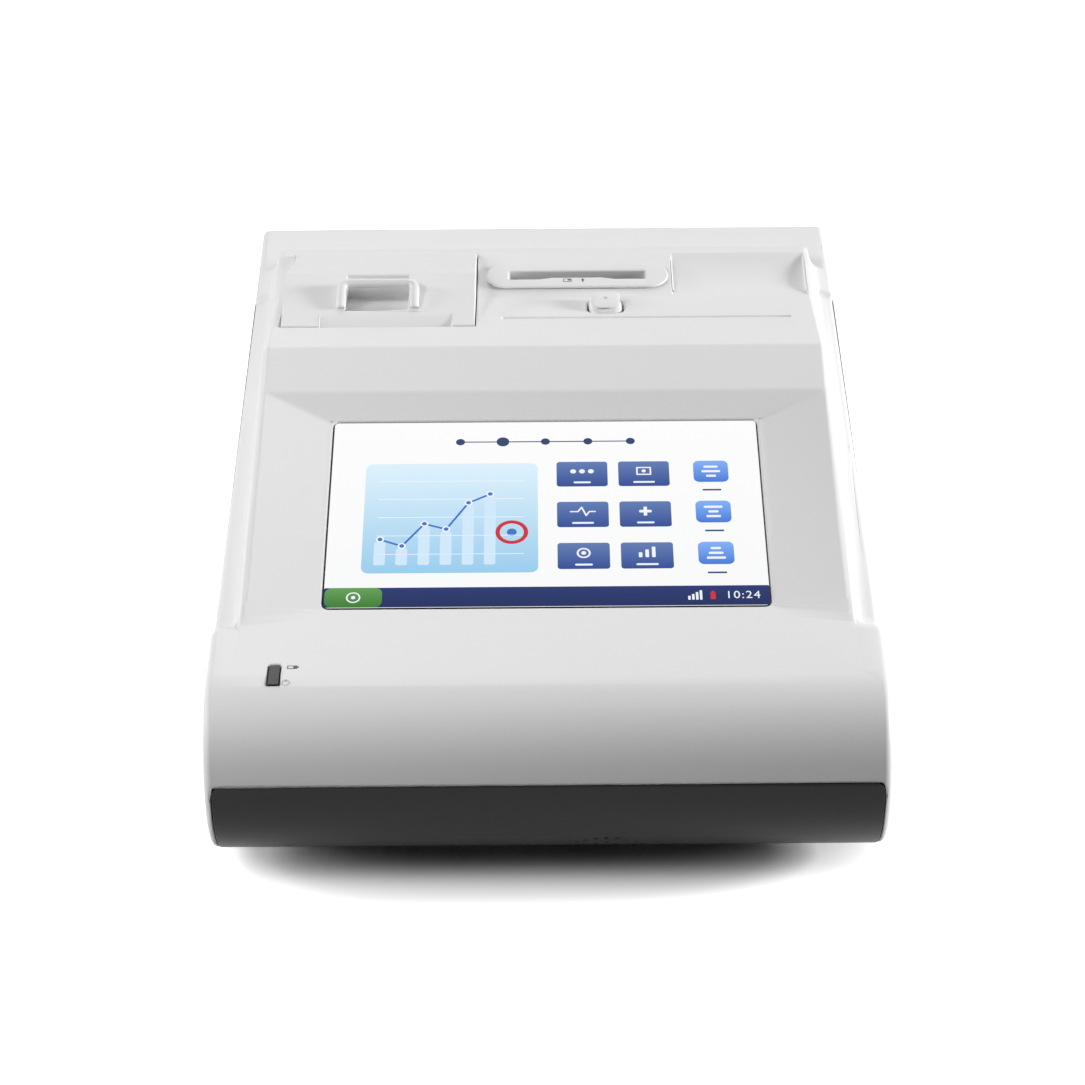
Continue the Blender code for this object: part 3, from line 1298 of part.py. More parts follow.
def make_handle_loop(material):
    """A round-wire loop that leans back from the sloping face of the door."""
    foot_height = door_height(loop_foot) + PIECE_GAP
    half = LOOP_WIDTH / 2
    foot = Vector((0, y_of(loop_foot), foot_height))
    head = Vector((0, y_of(loop_bar[0]), loop_bar[1]))
    rise = head - foot
    length = rise.length
    direction = rise.normalized()
    path = [(-half, 0)]
    path += arc((LOOP_BEND - half, length - LOOP_BEND), LOOP_BEND, half_turn, quarter_turn, ROUND_STEPS)
    path += arc((half - LOOP_BEND, length - LOOP_BEND), LOOP_BEND, quarter_turn, 0, ROUND_STEPS)
    path.append((half, 0))
    curve = bpy.data.curves.new("handle_loop", "CURVE")
    curve.dimensions = "3D"
    curve.bevel_depth = LOOP_WIRE_RADIUS
    curve.bevel_resolution = 2
    curve.use_fill_caps = True
    spline = curve.splines.new("POLY")
    spline.points.add(len(path) - 1)
    for point, (across, along) in zip(spline.points, path):
        point.co = (LOOP_CENTRE + across, *(foot + direction * along)[1:], 1)
    holder = bpy.data.objects.new("loop_path", curve)
    bpy.context.scene.collection.objects.link(holder)
    mesh = mesh_of(holder)
    bpy.data.objects.remove(holder)
    loop = finish_object("door_handle", mesh, material)
    under = [(door_front_setback, door_height(door_front_setback) + PIECE_GAP),
             (door_crease_setback, door_top_height + PIECE_GAP), (door_crease_setback, deck_height),
             (door_front_setback, deck_height)]
    return carve(loop, side_prism("under_loop", under, DOOR_LEFT, DOOR_RIGHT))


def gear_outline(teeth, centre, turn):
    """Straight-flanked teeth on the pitch circle of a small spur gear."""
    pitch = GEAR_MODULE * teeth / 2
    tip = pitch + GEAR_MODULE - GEAR_CLEARANCE
    root = pitch - GEAR_MODULE - GEAR_CLEARANCE
    step = 2 * half_turn / teeth
    points = []
    for tooth in range(teeth):
        middle = turn + tooth * step
        wide = step * GEAR_BACKLASH_SHARE / 2
        corners = ((root, -wide * 1.5), (tip, -wide * 0.5), (tip, wide * 0.5), (root, wide * 1.5))
        for radius, offset in corners:
            points.append((centre[0] + radius * math.cos(middle + offset),
                           centre[1] + radius * math.sin(middle + offset)))
    return points


gear_distance = GEAR_MODULE * (GEAR_TEETH + PINION_TEETH) / 2
pinion_axis = (roller_axis[0] - gear_distance * math.cos(GEAR_LEAN),
               roller_axis[1] - gear_distance * math.sin(GEAR_LEAN))
gear_left = ROLLER_LEFT + ROLLER_LENGTH + 2 * RUNNING_GAP + ROLLER_EAR


def make_roller(materials):
    axis = (y_of(roller_axis[0]), roller_axis[1])
    roller = rod("platen_roller", ROLLER_RADIUS, ROLLER_LEFT, ROLLER_LEFT + ROLLER_LENGTH, axis, SIDE,
                 materials["rubber_black"], sides=SIDES)
    join(roller, rod("roller_shaft", ROLLER_SHAFT_RADIUS, ROLLER_LEFT - RUNNING_GAP - ROLLER_EAR,
                     gear_left + GEAR_WIDTH / 2, axis, SIDE, sides=SMALL_SIDES))
    towards = half_turn + GEAR_LEAN
    gear = gear_outline(GEAR_TEETH, axis, towards)
    join(roller, extruded("roller_gear", [gear], gear_left, gear_left + GEAR_WIDTH, SIDE))
    return roller


def motor_face():
    """The right face of the plate that the feed motor is fixed to."""
    return DOOR_RIGHT + DOOR_GAP + MOTOR_PLATE + PIECE_GAP


def make_motor(materials):
    axis = (y_of(pinion_axis[0]), pinion_axis[1])
    half_step = half_turn / PINION_TEETH
    pinion = extruded("motor_pinion", [gear_outline(PINION_TEETH, axis, GEAR_LEAN + half_step)],
                      gear_left, gear_left + GEAR_WIDTH, SIDE, materials["brass"])
    join(pinion, rod("motor_shaft", MOTOR_SHAFT_RADIUS, gear_left + GEAR_WIDTH / 2,
                     motor_face() + 2 * PIECE_GAP, axis, SIDE, sides=SMALL_SIDES))
    motor = rod("feed_motor", MOTOR_RADIUS, motor_face(), motor_face() + MOTOR_LENGTH, axis, SIDE,
                materials["steel"])
    carve(motor, rod("motor_bore", MOTOR_SHAFT_RADIUS + RUNNING_GAP, motor_face() - OVERRUN,
                     motor_face() + 4 * PIECE_GAP, axis, SIDE, sides=SMALL_SIDES))


def make_tub(material):
    """The paper bucket, with a deck that carries the door, the print head and the motor."""
    deck_left = DOOR_LEFT + PIECE_GAP
    deck_right = DOOR_RIGHT + DOOR_GAP + MOTOR_PLATE
    tub = block("printer_tub", (deck_left, y_of(deck_front), deck_height - DECK_THICKNESS),
                (deck_right, y_of(deck_rear), deck_height), material=material)
    join(tub, block("tub_body", (TUB_LEFT - TUB_WALL, y_of(tub_front) - TUB_WALL, tub_floor - TUB_WALL),
                    (TUB_RIGHT + TUB_WALL, y_of(tub_rear) + TUB_WALL, deck_height - DECK_THICKNESS / 2)))
    carve(tub, block("tub_inside", (TUB_LEFT, y_of(tub_front), tub_floor),
                     (TUB_RIGHT, y_of(tub_rear), deck_height + OVERRUN)))
    roller_y = y_of(roller_axis[0])
    gear_right = gear_left + GEAR_WIDTH + PIECE_GAP
    space = GEAR_MODULE * (GEAR_TEETH / 2 + 1) + 2 * PIECE_GAP
    low = (ROLLER_LEFT - 2 * ROLLER_EAR, roller_y - space, deck_height - OVERRUN / 2)
    carve(tub, block("roller_space", low, (gear_right, roller_y + space, deck_height + OVERRUN)))
    space = GEAR_MODULE * (PINION_TEETH + 4) / 2
    low = (gear_left - PIECE_GAP, y_of(pinion_axis[0]) - space, deck_height - OVERRUN)
    carve(tub, block("pinion_space", low, (gear_right, roller_y, deck_height + OVERRUN)))
    low = (DOOR_RIGHT + DOOR_GAP, y_of(pinion_axis[0] - MOTOR_RADIUS), pinion_axis[1] - MOTOR_RADIUS)
    high = (deck_right, roller_y + MOTOR_RADIUS, deck_height - DECK_THICKNESS / 2)
    join(tub, block("motor_plate", low, high))
    carve(tub, rod("shaft_hole", MOTOR_SHAFT_RADIUS + RUNNING_GAP, gear_left, deck_right + OVERRUN,
                   (y_of(pinion_axis[0]), pinion_axis[1]), SIDE, sides=SMALL_SIDES))
    for number, left in enumerate(hinge_ear_places()):
        ear = [(hinge_axis[0] - HINGE_EAR_RADIUS, deck_height - DECK_THICKNESS / 2),
               *reversed(arc(hinge_axis, HINGE_EAR_RADIUS, 0, half_turn, ROUND_STEPS * 2)),
               (hinge_axis[0] + HINGE_EAR_RADIUS, deck_height - DECK_THICKNESS / 2)]
        join(tub, side_prism(f"hinge_ear_{number}", ear, left, left + HINGE_EAR_WIDTH))
    carve(tub, rod("hinge_bore", HINGE_PIN_RADIUS + RUNNING_GAP, DOOR_LEFT + DOOR_WALL,
                   DOOR_RIGHT - DOOR_WALL, (y_of(hinge_axis[0]), hinge_axis[1]), SIDE, sides=SMALL_SIDES))
    return tub


def make_print_head(materials):
    """The head's face leans the way the roller leaves it when the door swings up."""
    lean = math.atan2(hinge_axis[1] - roller_axis[1], hinge_axis[0] - roller_axis[0])
    reach = (ROLLER_RADIUS + PIECE_GAP) / math.cos(lean)
    low = deck_height + PIECE_GAP
    high = deck_height + PRINT_HEAD_HEIGHT

    def face_at(height):
        return roller_axis[0] - reach - (height - roller_axis[1]) * math.tan(lean)

    head = [(face_at(low), low), (face_at(high), high), (face_at(high) - PRINT_HEAD_DEPTH, high),
            (face_at(high) - PRINT_HEAD_DEPTH, low)]
    side_prism("print_head", head, ROLLER_LEFT, ROLLER_LEFT + ROLLER_LENGTH, materials["steel"])
    bar_rear = face_at(high) - PRINT_HEAD_DEPTH - PIECE_GAP
    block("tear_bar", (LIP_LEFT + PIECE_GAP, y_of(bar_rear - TEAR_BAR_THICKNESS), deck_height + PIECE_GAP),
          (LIP_RIGHT - PIECE_GAP, y_of(bar_rear), deck_height + PIECE_GAP + TEAR_BAR_RISE),
          material=materials["steel"])


# Scanner

def scanner_centre():
    return (y_of(NOSE_RADIUS), NOSE_CENTRE_HEIGHT)


def nose_side():
    return bow(NOSE_RADIUS, half_width)


def carve_scanner(cover):
    """The hole for the scanner bezel, and shallow rings around it."""
    carve(cover, rod("scanner_hole", SCANNER_BEZEL_RADIUS + PIECE_GAP, nose_side() - OVERRUN,
                     nose_side() + OVERRUN, scanner_centre(), SIDE))
    centre = scanner_centre()
    for number, radius in enumerate(SCANNER_RING_RADII):
        ring = extruded(f"scanner_ring_{number}",
                        [circle(centre, radius), circle(centre, radius - SCANNER_RING_WIDTH)],
                        nose_side() - SCANNER_RING_DEPTH, nose_side() + OVERRUN, SIDE)
        carve(cover, ring)


def make_scanner(materials):
    face = nose_side() + SCANNER_PROUD
    side = half_width - CHEEK_WALL - NOSE_BOW
    rear = side - SCANNER_TUBE_LENGTH
    bezel = rod("scanner_bezel", SCANNER_BEZEL_RADIUS, rear, face, scanner_centre(), SIDE,
                materials["cover_white"])
    carve(bezel, rod("bezel_bore", SCANNER_WINDOW_RADIUS + PIECE_GAP, rear - OVERRUN, face + OVERRUN,
                     scanner_centre(), SIDE))
    top = face - SCANNER_WINDOW_SINK
    rod("scanner_window", SCANNER_WINDOW_RADIUS, top - SCANNER_WINDOW_THICKNESS, top, scanner_centre(), SIDE,
        materials["scanner_red"])
    half = SCANNER_ENGINE_SIZE / 2
    y, z = scanner_centre()
    block("scanner_engine", (rear - PIECE_GAP - SCANNER_ENGINE_LENGTH, y - half, z - half),
          (rear - PIECE_GAP, y + half + SCANNER_TUBE_LENGTH / 2, z + half),
          material=materials["inner_plastic"])


# Rear connectors

def panel_outline(gap):
    return rounded_rectangle(PANEL_WIDTH - 2 * gap, PANEL_HEIGHT - 2 * gap, PANEL_CORNER,
                             (0, PANEL_LIFT + PANEL_HEIGHT / 2))


panel_middle = PANEL_LIFT + PANEL_HEIGHT / 2


def socket_shell(name, width, height, length, offset, material, wall=SOCKET_WALL):
    """A rectangular socket: a box open to the rear, standing a little out of the plate."""
    low = (offset - width / 2, panel_middle - height / 2, -length)
    high = (offset + width / 2, panel_middle + height / 2, SOCKET_PROUD)
    shell = block(name, low, high, rear_plane, material)
    hollow = block(name + "_mouth", (low[0] + wall, low[1] + wall, -length + 2 * wall),
                   (high[0] - wall, high[1] - wall, OVERRUN), rear_plane)
    return carve(shell, hollow)


def make_rear_panel(materials):
    back = -PANEL_RECESS
    panel = extruded("rear_panel", [panel_outline(0)], back - PANEL_THICKNESS, back, rear_plane,
                     materials["inner_plastic"])
    sockets = [("usb_port_" + str(k + 1), USB_WIDTH, USB_HEIGHT, USB_LENGTH, offset, materials["steel"])
               for k, offset in enumerate(USB_OFFSETS)]
    sockets.append(("network_port", LAN_WIDTH, LAN_HEIGHT, LAN_LENGTH, LAN_OFFSET, materials["steel"]))
    sockets.append(("serial_port", SERIAL_WIDTH, SERIAL_HEIGHT, SERIAL_LENGTH, SERIAL_OFFSET,
                    materials["steel"]))
    sockets.append(("rocker_frame", ROCKER_WIDTH + 2 * (ROCKER_FRAME + SOCKET_GAP),
                    ROCKER_HEIGHT + 2 * (ROCKER_FRAME + SOCKET_GAP), ROCKER_DEPTH, ROCKER_OFFSET,
                    materials["rubber_black"]))
    for name, width, height, length, offset, material in sockets:
        wall = ROCKER_FRAME if name == "rocker_frame" else SOCKET_WALL
        socket_shell(name, width, height, length, offset, material, wall)
        half_w = width / 2 + SOCKET_GAP
        half_h = height / 2 + SOCKET_GAP
        carve(panel, block(name + "_hole", (offset - half_w, panel_middle - half_h, -OVERRUN),
                           (offset + half_w, panel_middle + half_h, OVERRUN), rear_plane))
    carve(panel, rod("inlet_hole", INLET_RADIUS + SOCKET_GAP, -OVERRUN, OVERRUN,
                     (INLET_OFFSET, panel_middle), rear_plane))
    inlet = rod("dc_inlet", INLET_RADIUS, -INLET_LENGTH, SOCKET_PROUD, (INLET_OFFSET, panel_middle),
                rear_plane, materials["rubber_black"])
    carve(inlet, rod("inlet_bore", INLET_BORE, -INLET_LENGTH + 2 * SOCKET_WALL, OVERRUN,
                     (INLET_OFFSET, panel_middle), rear_plane, sides=SMALL_SIDES))
    make_rocker(materials["rubber_black"])
    return panel


def make_rocker(material):
    """A rocker with a valley over its pivot and ends that are round about it, upper end out at rest."""
    reach = ROCKER_HEIGHT / 2
    outline = arc((0, 0), reach, -ROCKER_SKIRT, ROCKER_LIFT, ROUND_STEPS)
    outline.append((0, reach * math.sin(ROCKER_LIFT) - ROCKER_VALLEY))
    outline += arc((0, 0), reach, half_turn - ROCKER_LIFT, half_turn + ROCKER_SKIRT, ROUND_STEPS)
    rest = Matrix.Rotation(ROCKER_TRAVEL / 2, 2)
    outline = [tuple(rest @ Vector(point)) for point in outline]
    place = (rear_plane @ Matrix.Translation((ROCKER_OFFSET, panel_middle, -ROCKER_PIVOT_DEPTH)) @ SIDE)
    return extruded("power_rocker", [outline], -ROCKER_WIDTH / 2, ROCKER_WIDTH / 2, place, material)


def main():
    for piece in list(bpy.data.objects):
        bpy.data.objects.remove(piece)
    bpy.context.scene.collection.children.link(parts)
    bpy.context.scene.collection.children.link(cutters)
    materials = make_materials()
    make_top_cover(materials["cover_white"])
    make_bumper(materials["bumper_dark"])
    make_speaker(materials["inner_plastic"])
    make_base_skirt(materials["cover_white"])
    make_bottom_case(materials["cover_white"])
    make_battery(materials)
    make_main_board(materials["board_green"])
    make_feet(materials["rubber_black"])
    make_case_screws(materials["steel"])
    make_display(materials)
    status_block("status_window", PIECE_GAP, 0, materials["smoke_window"])
    make_card_slot(materials)
    make_release_button(materials)
    make_door(materials)
    make_roller(materials)
    make_motor(materials)
    make_tub(materials["inner_plastic"])
    make_print_head(materials)
    make_scanner(materials)
    make_rear_panel(materials)


main()
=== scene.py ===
"""Looks of a bench-top blood gas analyzer: moulded white case, dark bumper, lit touch screen, printer
and card slot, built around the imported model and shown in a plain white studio."""

import json
import math

import bpy
from mathutils import Matrix, Vector
from mathutils.bvhtree import BVHTree

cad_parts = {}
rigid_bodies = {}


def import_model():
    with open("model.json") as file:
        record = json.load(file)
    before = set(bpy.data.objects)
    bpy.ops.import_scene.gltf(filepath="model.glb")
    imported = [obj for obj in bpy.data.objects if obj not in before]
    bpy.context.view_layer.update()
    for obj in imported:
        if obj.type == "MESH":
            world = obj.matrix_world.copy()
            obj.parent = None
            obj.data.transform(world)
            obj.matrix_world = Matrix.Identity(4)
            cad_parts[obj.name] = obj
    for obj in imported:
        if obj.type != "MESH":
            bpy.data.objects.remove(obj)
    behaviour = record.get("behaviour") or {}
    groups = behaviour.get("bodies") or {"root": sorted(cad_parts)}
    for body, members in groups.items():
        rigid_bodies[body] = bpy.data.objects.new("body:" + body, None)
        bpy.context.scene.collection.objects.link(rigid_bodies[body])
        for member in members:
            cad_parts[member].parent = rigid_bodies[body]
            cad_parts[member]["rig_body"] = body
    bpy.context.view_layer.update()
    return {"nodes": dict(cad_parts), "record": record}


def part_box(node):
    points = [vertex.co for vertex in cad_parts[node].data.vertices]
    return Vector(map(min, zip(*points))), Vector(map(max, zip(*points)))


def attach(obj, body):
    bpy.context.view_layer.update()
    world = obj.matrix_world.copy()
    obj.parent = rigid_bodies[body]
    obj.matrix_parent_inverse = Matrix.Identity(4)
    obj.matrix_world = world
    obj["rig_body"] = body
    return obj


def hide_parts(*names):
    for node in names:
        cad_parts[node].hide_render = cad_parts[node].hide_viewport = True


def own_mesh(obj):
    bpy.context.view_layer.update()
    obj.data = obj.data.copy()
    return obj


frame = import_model()

bl_info = {
    "name": "Blood gas analyzer looks",
    "version": (1, 0, 0),
    "blender": (4, 5, 0),
    "location": "3D View > Sidebar > Analyzer",
    "description": "Finishes, screen picture, small signs and studio for a blood gas analyzer",
    "category": "Object",
}

# Every material by its name
finishes = {}


# Selecting and applying

def deselect():
    bpy.ops.object.select_all(action="DESELECT")


def select_only(piece):
    deselect()
    piece.select_set(True)
    bpy.context.view_layer.objects.active = piece


def apply_place():
    """Moves the place, turn and scale of the selected piece into its mesh."""
    bpy.ops.object.transform_apply(location=True, rotation=True, scale=True)


def edit(piece, select="SELECT"):
    select_only(piece)
    bpy.ops.object.mode_set(mode="EDIT")
    bpy.ops.mesh.select_all(action=select)


def end_edit():
    bpy.ops.object.mode_set(mode="OBJECT")


def add_modifier(piece, kind, **settings):
    modifier = piece.modifiers.new(kind.title(), kind)
    for name, value in settings.items():
        setattr(modifier, name, value)


def apply_modifiers(piece):
    select_only(piece)
    for modifier in list(piece.modifiers):
        bpy.ops.object.modifier_apply(modifier=modifier.name)


def settle(piece, name, finish, body):
    """Gives a finished piece its name, finish and body."""
    piece.name = name
    piece.data.name = name
    piece.data.materials.clear()
    piece.data.materials.append(finishes[finish])
    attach(piece, body)
    return piece


# Building materials from fields

class Field:
    """A shader socket that can be written into sums and products."""

    def __init__(self, nodes, socket):
        self.nodes = nodes
        self.socket = socket

    def maths(self, operation, *pair):
        return self.nodes.add("ShaderNodeMath", {"operation": operation}, dict(enumerate(pair)))

    def __add__(self, other):
        return self.maths("ADD", self, other)

    def __sub__(self, other):
        return self.maths("SUBTRACT", self, other)

    def __rsub__(self, other):
        return self.maths("SUBTRACT", other, self)

    def __mul__(self, other):
        return self.maths("MULTIPLY", self, other)

    def __truediv__(self, other):
        return self.maths("DIVIDE", self, other)

    def __rtruediv__(self, other):
        return self.maths("DIVIDE", other, self)

    __radd__ = __add__
    __rmul__ = __mul__


class Nodes:
    """The nodes of a material or of the world."""

    def __init__(self, owner):
        owner.use_nodes = True
        self.tree = owner.node_tree

    def feed(self, socket, value):
        """Links a field to a socket, or sets a constant on it."""
        if isinstance(value, Field):
            self.tree.links.new(value.socket, socket)
        else:
            socket.default_value = value

    def add(self, kind, settings, inputs, output=0):
        """Adds a node with its settings and the values or fields of its sockets."""
        node = self.tree.nodes.new(kind)
        for name, value in settings.items():
            setattr(node, name, value)
        for socket, value in inputs.items():
            self.feed(node.inputs[socket], value)
        return Field(self, node.outputs[output])

    def rays(self, *kinds):
        """1 for rays of the given kinds and 0 for others."""
        first, *others = [self.add("ShaderNodeLightPath", {}, {}, f"Is {kind} Ray") for kind in kinds]
        for other in others:
            first = first.maths("MAXIMUM", first, other)
        return first


# Sockets of a Mix node that mixes colours
MIX_FACTOR, MIX_FIRST, MIX_SECOND, MIX_RESULT = 0, 6, 7, 2

# Pattern sizes in metres, shares of a pattern in the bumps, and how far the roughness strays
CLOUD_SIZE = 0.045
WEAR_SIZE = 0.012
WEAR_SPREAD = 0.05
PIT_SIZE = 0.0007
PIT_DEPTH = 0.00003
PIT_SMOOTHNESS = 0.6
PIT_SHARE = 0.7
FINE_SHARE = 0.5
FINE_PER_PIT = 0.6
DUST_SIZE = 0.004
DUST_SPREAD = 0.12
RUBBER_PIT_SIZE = 0.0006
RUBBER_PIT_DEPTH = 0.00004
DRAWN_SIZE = 0.004
DRAWN_SPREAD = 0.16
DRAWN_DEPTH = 0.00001
SPOT_SIZE = 0.02


class Finish(Nodes):
    """A Principled material. Its sockets are named with underscores for their spaces."""

    def __init__(self, name, **inputs):
        self.material = bpy.data.materials.new(name)
        super().__init__(self.material)
        self.shader = self.tree.nodes["Principled BSDF"]
        self.drive(**inputs)
        finishes[name] = self.material

    def drive(self, **inputs):
        for name, value in inputs.items():
            self.feed(self.shader.inputs[name.replace("_", " ")], value)

    def here(self):
        return self.add("ShaderNodeTexCoord", {}, {}, "Object")

    def noise(self, size, detail=2.0, stretch=(1, 1, 1)):
        """A grey cloud whose features are about as large as the size."""
        where = self.add("ShaderNodeMapping", {}, {"Vector": self.here(), "Scale": stretch})
        inputs = {"Vector": where, "Scale": 1 / size, "Detail": detail}
        return self.add("ShaderNodeTexNoise", {}, inputs, "Fac")

    def grain(self, size):
        """Small pits like those of a spark-eroded mould."""
        inputs = {"Vector": self.here(), "Scale": 1 / size, "Smoothness": PIT_SMOOTHNESS}
        return self.add("ShaderNodeTexVoronoi", {"feature": "SMOOTH_F1"}, inputs, "Distance")

    def blend(self, factor, first, second):
        """One colour over another by a factor."""
        inputs = {MIX_FACTOR: factor, MIX_FIRST: (*first, 1.0), MIX_SECOND: (*second, 1.0)}
        return self.add("ShaderNodeMix", {"data_type": "RGBA"}, inputs, MIX_RESULT)

    def bumps(self, height, depth):
        self.drive(Normal=self.add("ShaderNodeBump", {}, {"Distance": depth, "Height": height}))


def scaled(colour, share, lift=0.0):
    return tuple(c * share + lift for c in colour)


def moulded_plastic(name, colour, tint, roughness, pit=PIT_SIZE, depth=PIT_DEPTH, shine=0.4):
    """Moulded plastic: a fine even pitting, a faint cloud in colour and patches of wear in the gloss."""
    finish = Finish(name, Specular_IOR_Level=shine)
    wear = finish.noise(WEAR_SIZE, 4.0)
    finish.drive(Base_Color=finish.blend(finish.noise(CLOUD_SIZE, 3.0), colour, tint),
                 Roughness=roughness + (wear - 0.5) * WEAR_SPREAD)
    fine = finish.noise(pit * FINE_PER_PIT, 1.0)
    finish.bumps(finish.grain(pit) * PIT_SHARE + fine * FINE_SHARE, depth)


def rubber(name, colour, roughness):
    """Dull rubber with paler dust in its pits."""
    finish = Finish(name, Specular_IOR_Level=0.35)
    dust = finish.noise(DUST_SIZE, 4.0)
    finish.drive(Base_Color=finish.blend(dust, colour, scaled(colour, 1.9, 0.01)),
                 Roughness=roughness + (dust - 0.5) * DUST_SPREAD)
    finish.bumps(finish.noise(RUBBER_PIT_SIZE), RUBBER_PIT_DEPTH)


def sheet_metal(name, colour, roughness, stretch=(1, 30, 30)):
    """Metal with fine drawn lines, close together along the axes that are stretched."""
    finish = Finish(name, Metallic=1.0)
    lines = finish.noise(DRAWN_SIZE, 3.0, stretch)
    finish.drive(Base_Color=finish.blend(finish.noise(SPOT_SIZE), scaled(colour, 0.82), colour),
                 Roughness=roughness + (lines - 0.5) * DRAWN_SPREAD)
    finish.bumps(lines, DRAWN_DEPTH)


def lit(name, low, high=None, span=None):
    """A lit patch of the screen under its cover glass. With a span, its colour runs from low to high
    between two places up the screen."""
    finish = Finish(name, Base_Color=(0.004, 0.004, 0.005, 1), Roughness=0.16, Specular_IOR_Level=0.06,
                    Emission_Strength=1.0, Emission_Color=(*low, 1))
    if span:
        bottom, top = ((screen_frame() @ Vector((0, place, 0))).z for place in span)
        height = finish.add("ShaderNodeSeparateXYZ", {}, {"Vector": finish.here()}, "Z")
        share = finish.add("ShaderNodeClamp", {}, {"Value": (height - bottom) / (top - bottom)})
        finish.drive(Emission_Color=finish.blend(share, low, high))


SIGN_COLOURS = {
    "sign_grey": ((0.09, 0.09, 0.095), (0.12, 0.12, 0.125)),
    "sign_pale": ((0.30, 0.30, 0.31), (0.34, 0.34, 0.35)),
    # Grey for the ring and dot of painted shade in the hollow of the release button's cap
    "sign_faint": ((0.55, 0.55, 0.56), (0.60, 0.60, 0.61)),
    "sign_light": ((0.74, 0.74, 0.75), (0.80, 0.80, 0.81)),
}


def make_finishes(colours):
    case = tuple(colours.case_colour)
    moulded_plastic("cover_white", case, scaled(case, 0.985), 0.46)
    bumper = tuple(colours.bumper_colour)
    moulded_plastic("bumper_dark", bumper, scaled(bumper, 1.4), 0.42, pit=0.0006, depth=0.00004, shine=0.2)
    moulded_plastic("inner_plastic", (0.075, 0.075, 0.08), (0.095, 0.095, 0.10), 0.52)
    for name, pair in SIGN_COLOURS.items():
        moulded_plastic(name, *pair, 0.55, pit=0.0004, depth=0.000005)
    rubber("rubber_black", (0.018, 0.018, 0.019), 0.72)
    sheet_metal("steel", (0.62, 0.62, 0.64), 0.32)
    sheet_metal("brass", (0.78, 0.58, 0.28), 0.34, stretch=(30, 1, 1))
    smoked = Finish("smoke_window", Roughness=0.14, Specular_IOR_Level=0.3)
    smoked.drive(Base_Color=smoked.blend(smoked.noise(0.006), (0.010, 0.010, 0.012), (0.022, 0.023, 0.026)))
    red = Finish("scanner_red", Roughness=0.10, Coat_Weight=0.8)
    red.drive(Base_Color=red.blend(red.noise(0.008), (0.20, 0.006, 0.006), (0.34, 0.012, 0.010)))
    board = Finish("board_green", Coat_Weight=0.3)
    traces = board.add("ShaderNodeTexBrick", {}, {
        "Vector": board.here(), "Scale": 60.0, "Mortar": (0.05, 0.30, 0.12, 1),
        "Color1": (0.02, 0.16, 0.06, 1), "Color2": (0.03, 0.22, 0.09, 1)})
    board.drive(Base_Color=traces, Roughness=0.40 + (board.noise(0.003) - 0.5) * 0.1)
    wrap = Finish("battery_wrap")
    wrap.drive(Base_Color=wrap.blend(wrap.noise(0.02, 3.0), (0.05, 0.08, 0.26), (0.07, 0.11, 0.34)),
               Roughness=0.38 + (wrap.noise(0.004) - 0.5) * 0.2)
    make_screen_finishes()


def make_screen_finishes():
    glass = Finish("screen_black", Roughness=0.16, Specular_IOR_Level=0.3)
    glass.drive(Base_Color=glass.blend(glass.noise(0.01), (0.006, 0.006, 0.007), (0.010, 0.010, 0.011)))
    lit("screen_white", (0.925, 0.930, 0.935), (0.955, 0.955, 0.955), (0, SCREEN_HEIGHT))
    lit("screen_navy", (0.008, 0.020, 0.105), (0.014, 0.032, 0.155), (0, BAR_HEIGHT))
    lit("screen_green", (0.030, 0.175, 0.020), (0.115, 0.330, 0.080), (0, BAR_HEIGHT))
    lit("screen_sky", (0.300, 0.590, 0.830), (0.720, 0.870, 0.965), SKY_SPAN)
    lit("screen_ink", (0.025, 0.055, 0.150))
    lit("screen_pale", (0.86, 0.90, 0.96))
    lit("screen_red", (0.62, 0.025, 0.035))
    lit("screen_blue", (0.045, 0.170, 0.560))
    lit("screen_haze", (0.62, 0.80, 0.94))
    for row, span in enumerate(TILE_ROWS):
        lit(f"screen_tile_{row}", (0.022, 0.060, 0.290), (0.110, 0.190, 0.440), span)
        lit(f"screen_key_{row}", (0.020, 0.130, 0.640), (0.210, 0.420, 0.900), span)


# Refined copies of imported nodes

WHITE_NODES = ("top_cover", "base_skirt", "bottom_case", "battery_cover", "printer_door", "door_handle",
               "slot_bezel", "release_button", "scanner_bezel")
WHITE_SEGMENTS = 3

# Rounding of some mouldings, as a share of the edge rounding that all have
EDGE_SHARES = {"top_cover": 1.8, "printer_door": 0.8, "slot_bezel": 1.4, "scanner_bezel": 1.2}

# Corners this near are merged, and faces this flat to each other are joined
MERGE_REACH = 0.000002
FLAT = math.radians(0.6)

# Edges sharper than a crease are rounded. Faint ones are rounded between faces that give enough room.
CREASE = math.radians(28)
FAINT = math.radians(4)
BROAD_ROOM = 0.0075
FOLD_ROOM = 0.0018

# Widths of rounding that need the full room beside an edge and its full length, and the least share
ROOM_WIDTHS = 2.2
LENGTH_WIDTHS = 1.5
LEAST_SHARE = 0.15

NORMAL_WEIGHT = 60

# Ends of the fold in the right upper corner of the screen recess, as it is packed, and the stretch of y
# in which the folds of the recess lie
HIP_OUTER = Vector((0.1070, -0.0054, 0.1247))
HIP_INNER = Vector((0.0821, 0.0034, 0.1286))
HIP_REACH = 0.0006
RECESS_FOLDS = (-0.0998, 0.0300)

# The release button's cap
CAP_HEIGHT = 0.0080
CAP_DROP = 0.0034


def body_name(node):
    return frame["nodes"][node]["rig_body"]


def record_slot(node):
    for row in frame["record"]["subparts"]:
        if row["node"] == node:
            return row["material_slot"]
    raise ValueError("no slot for " + node)


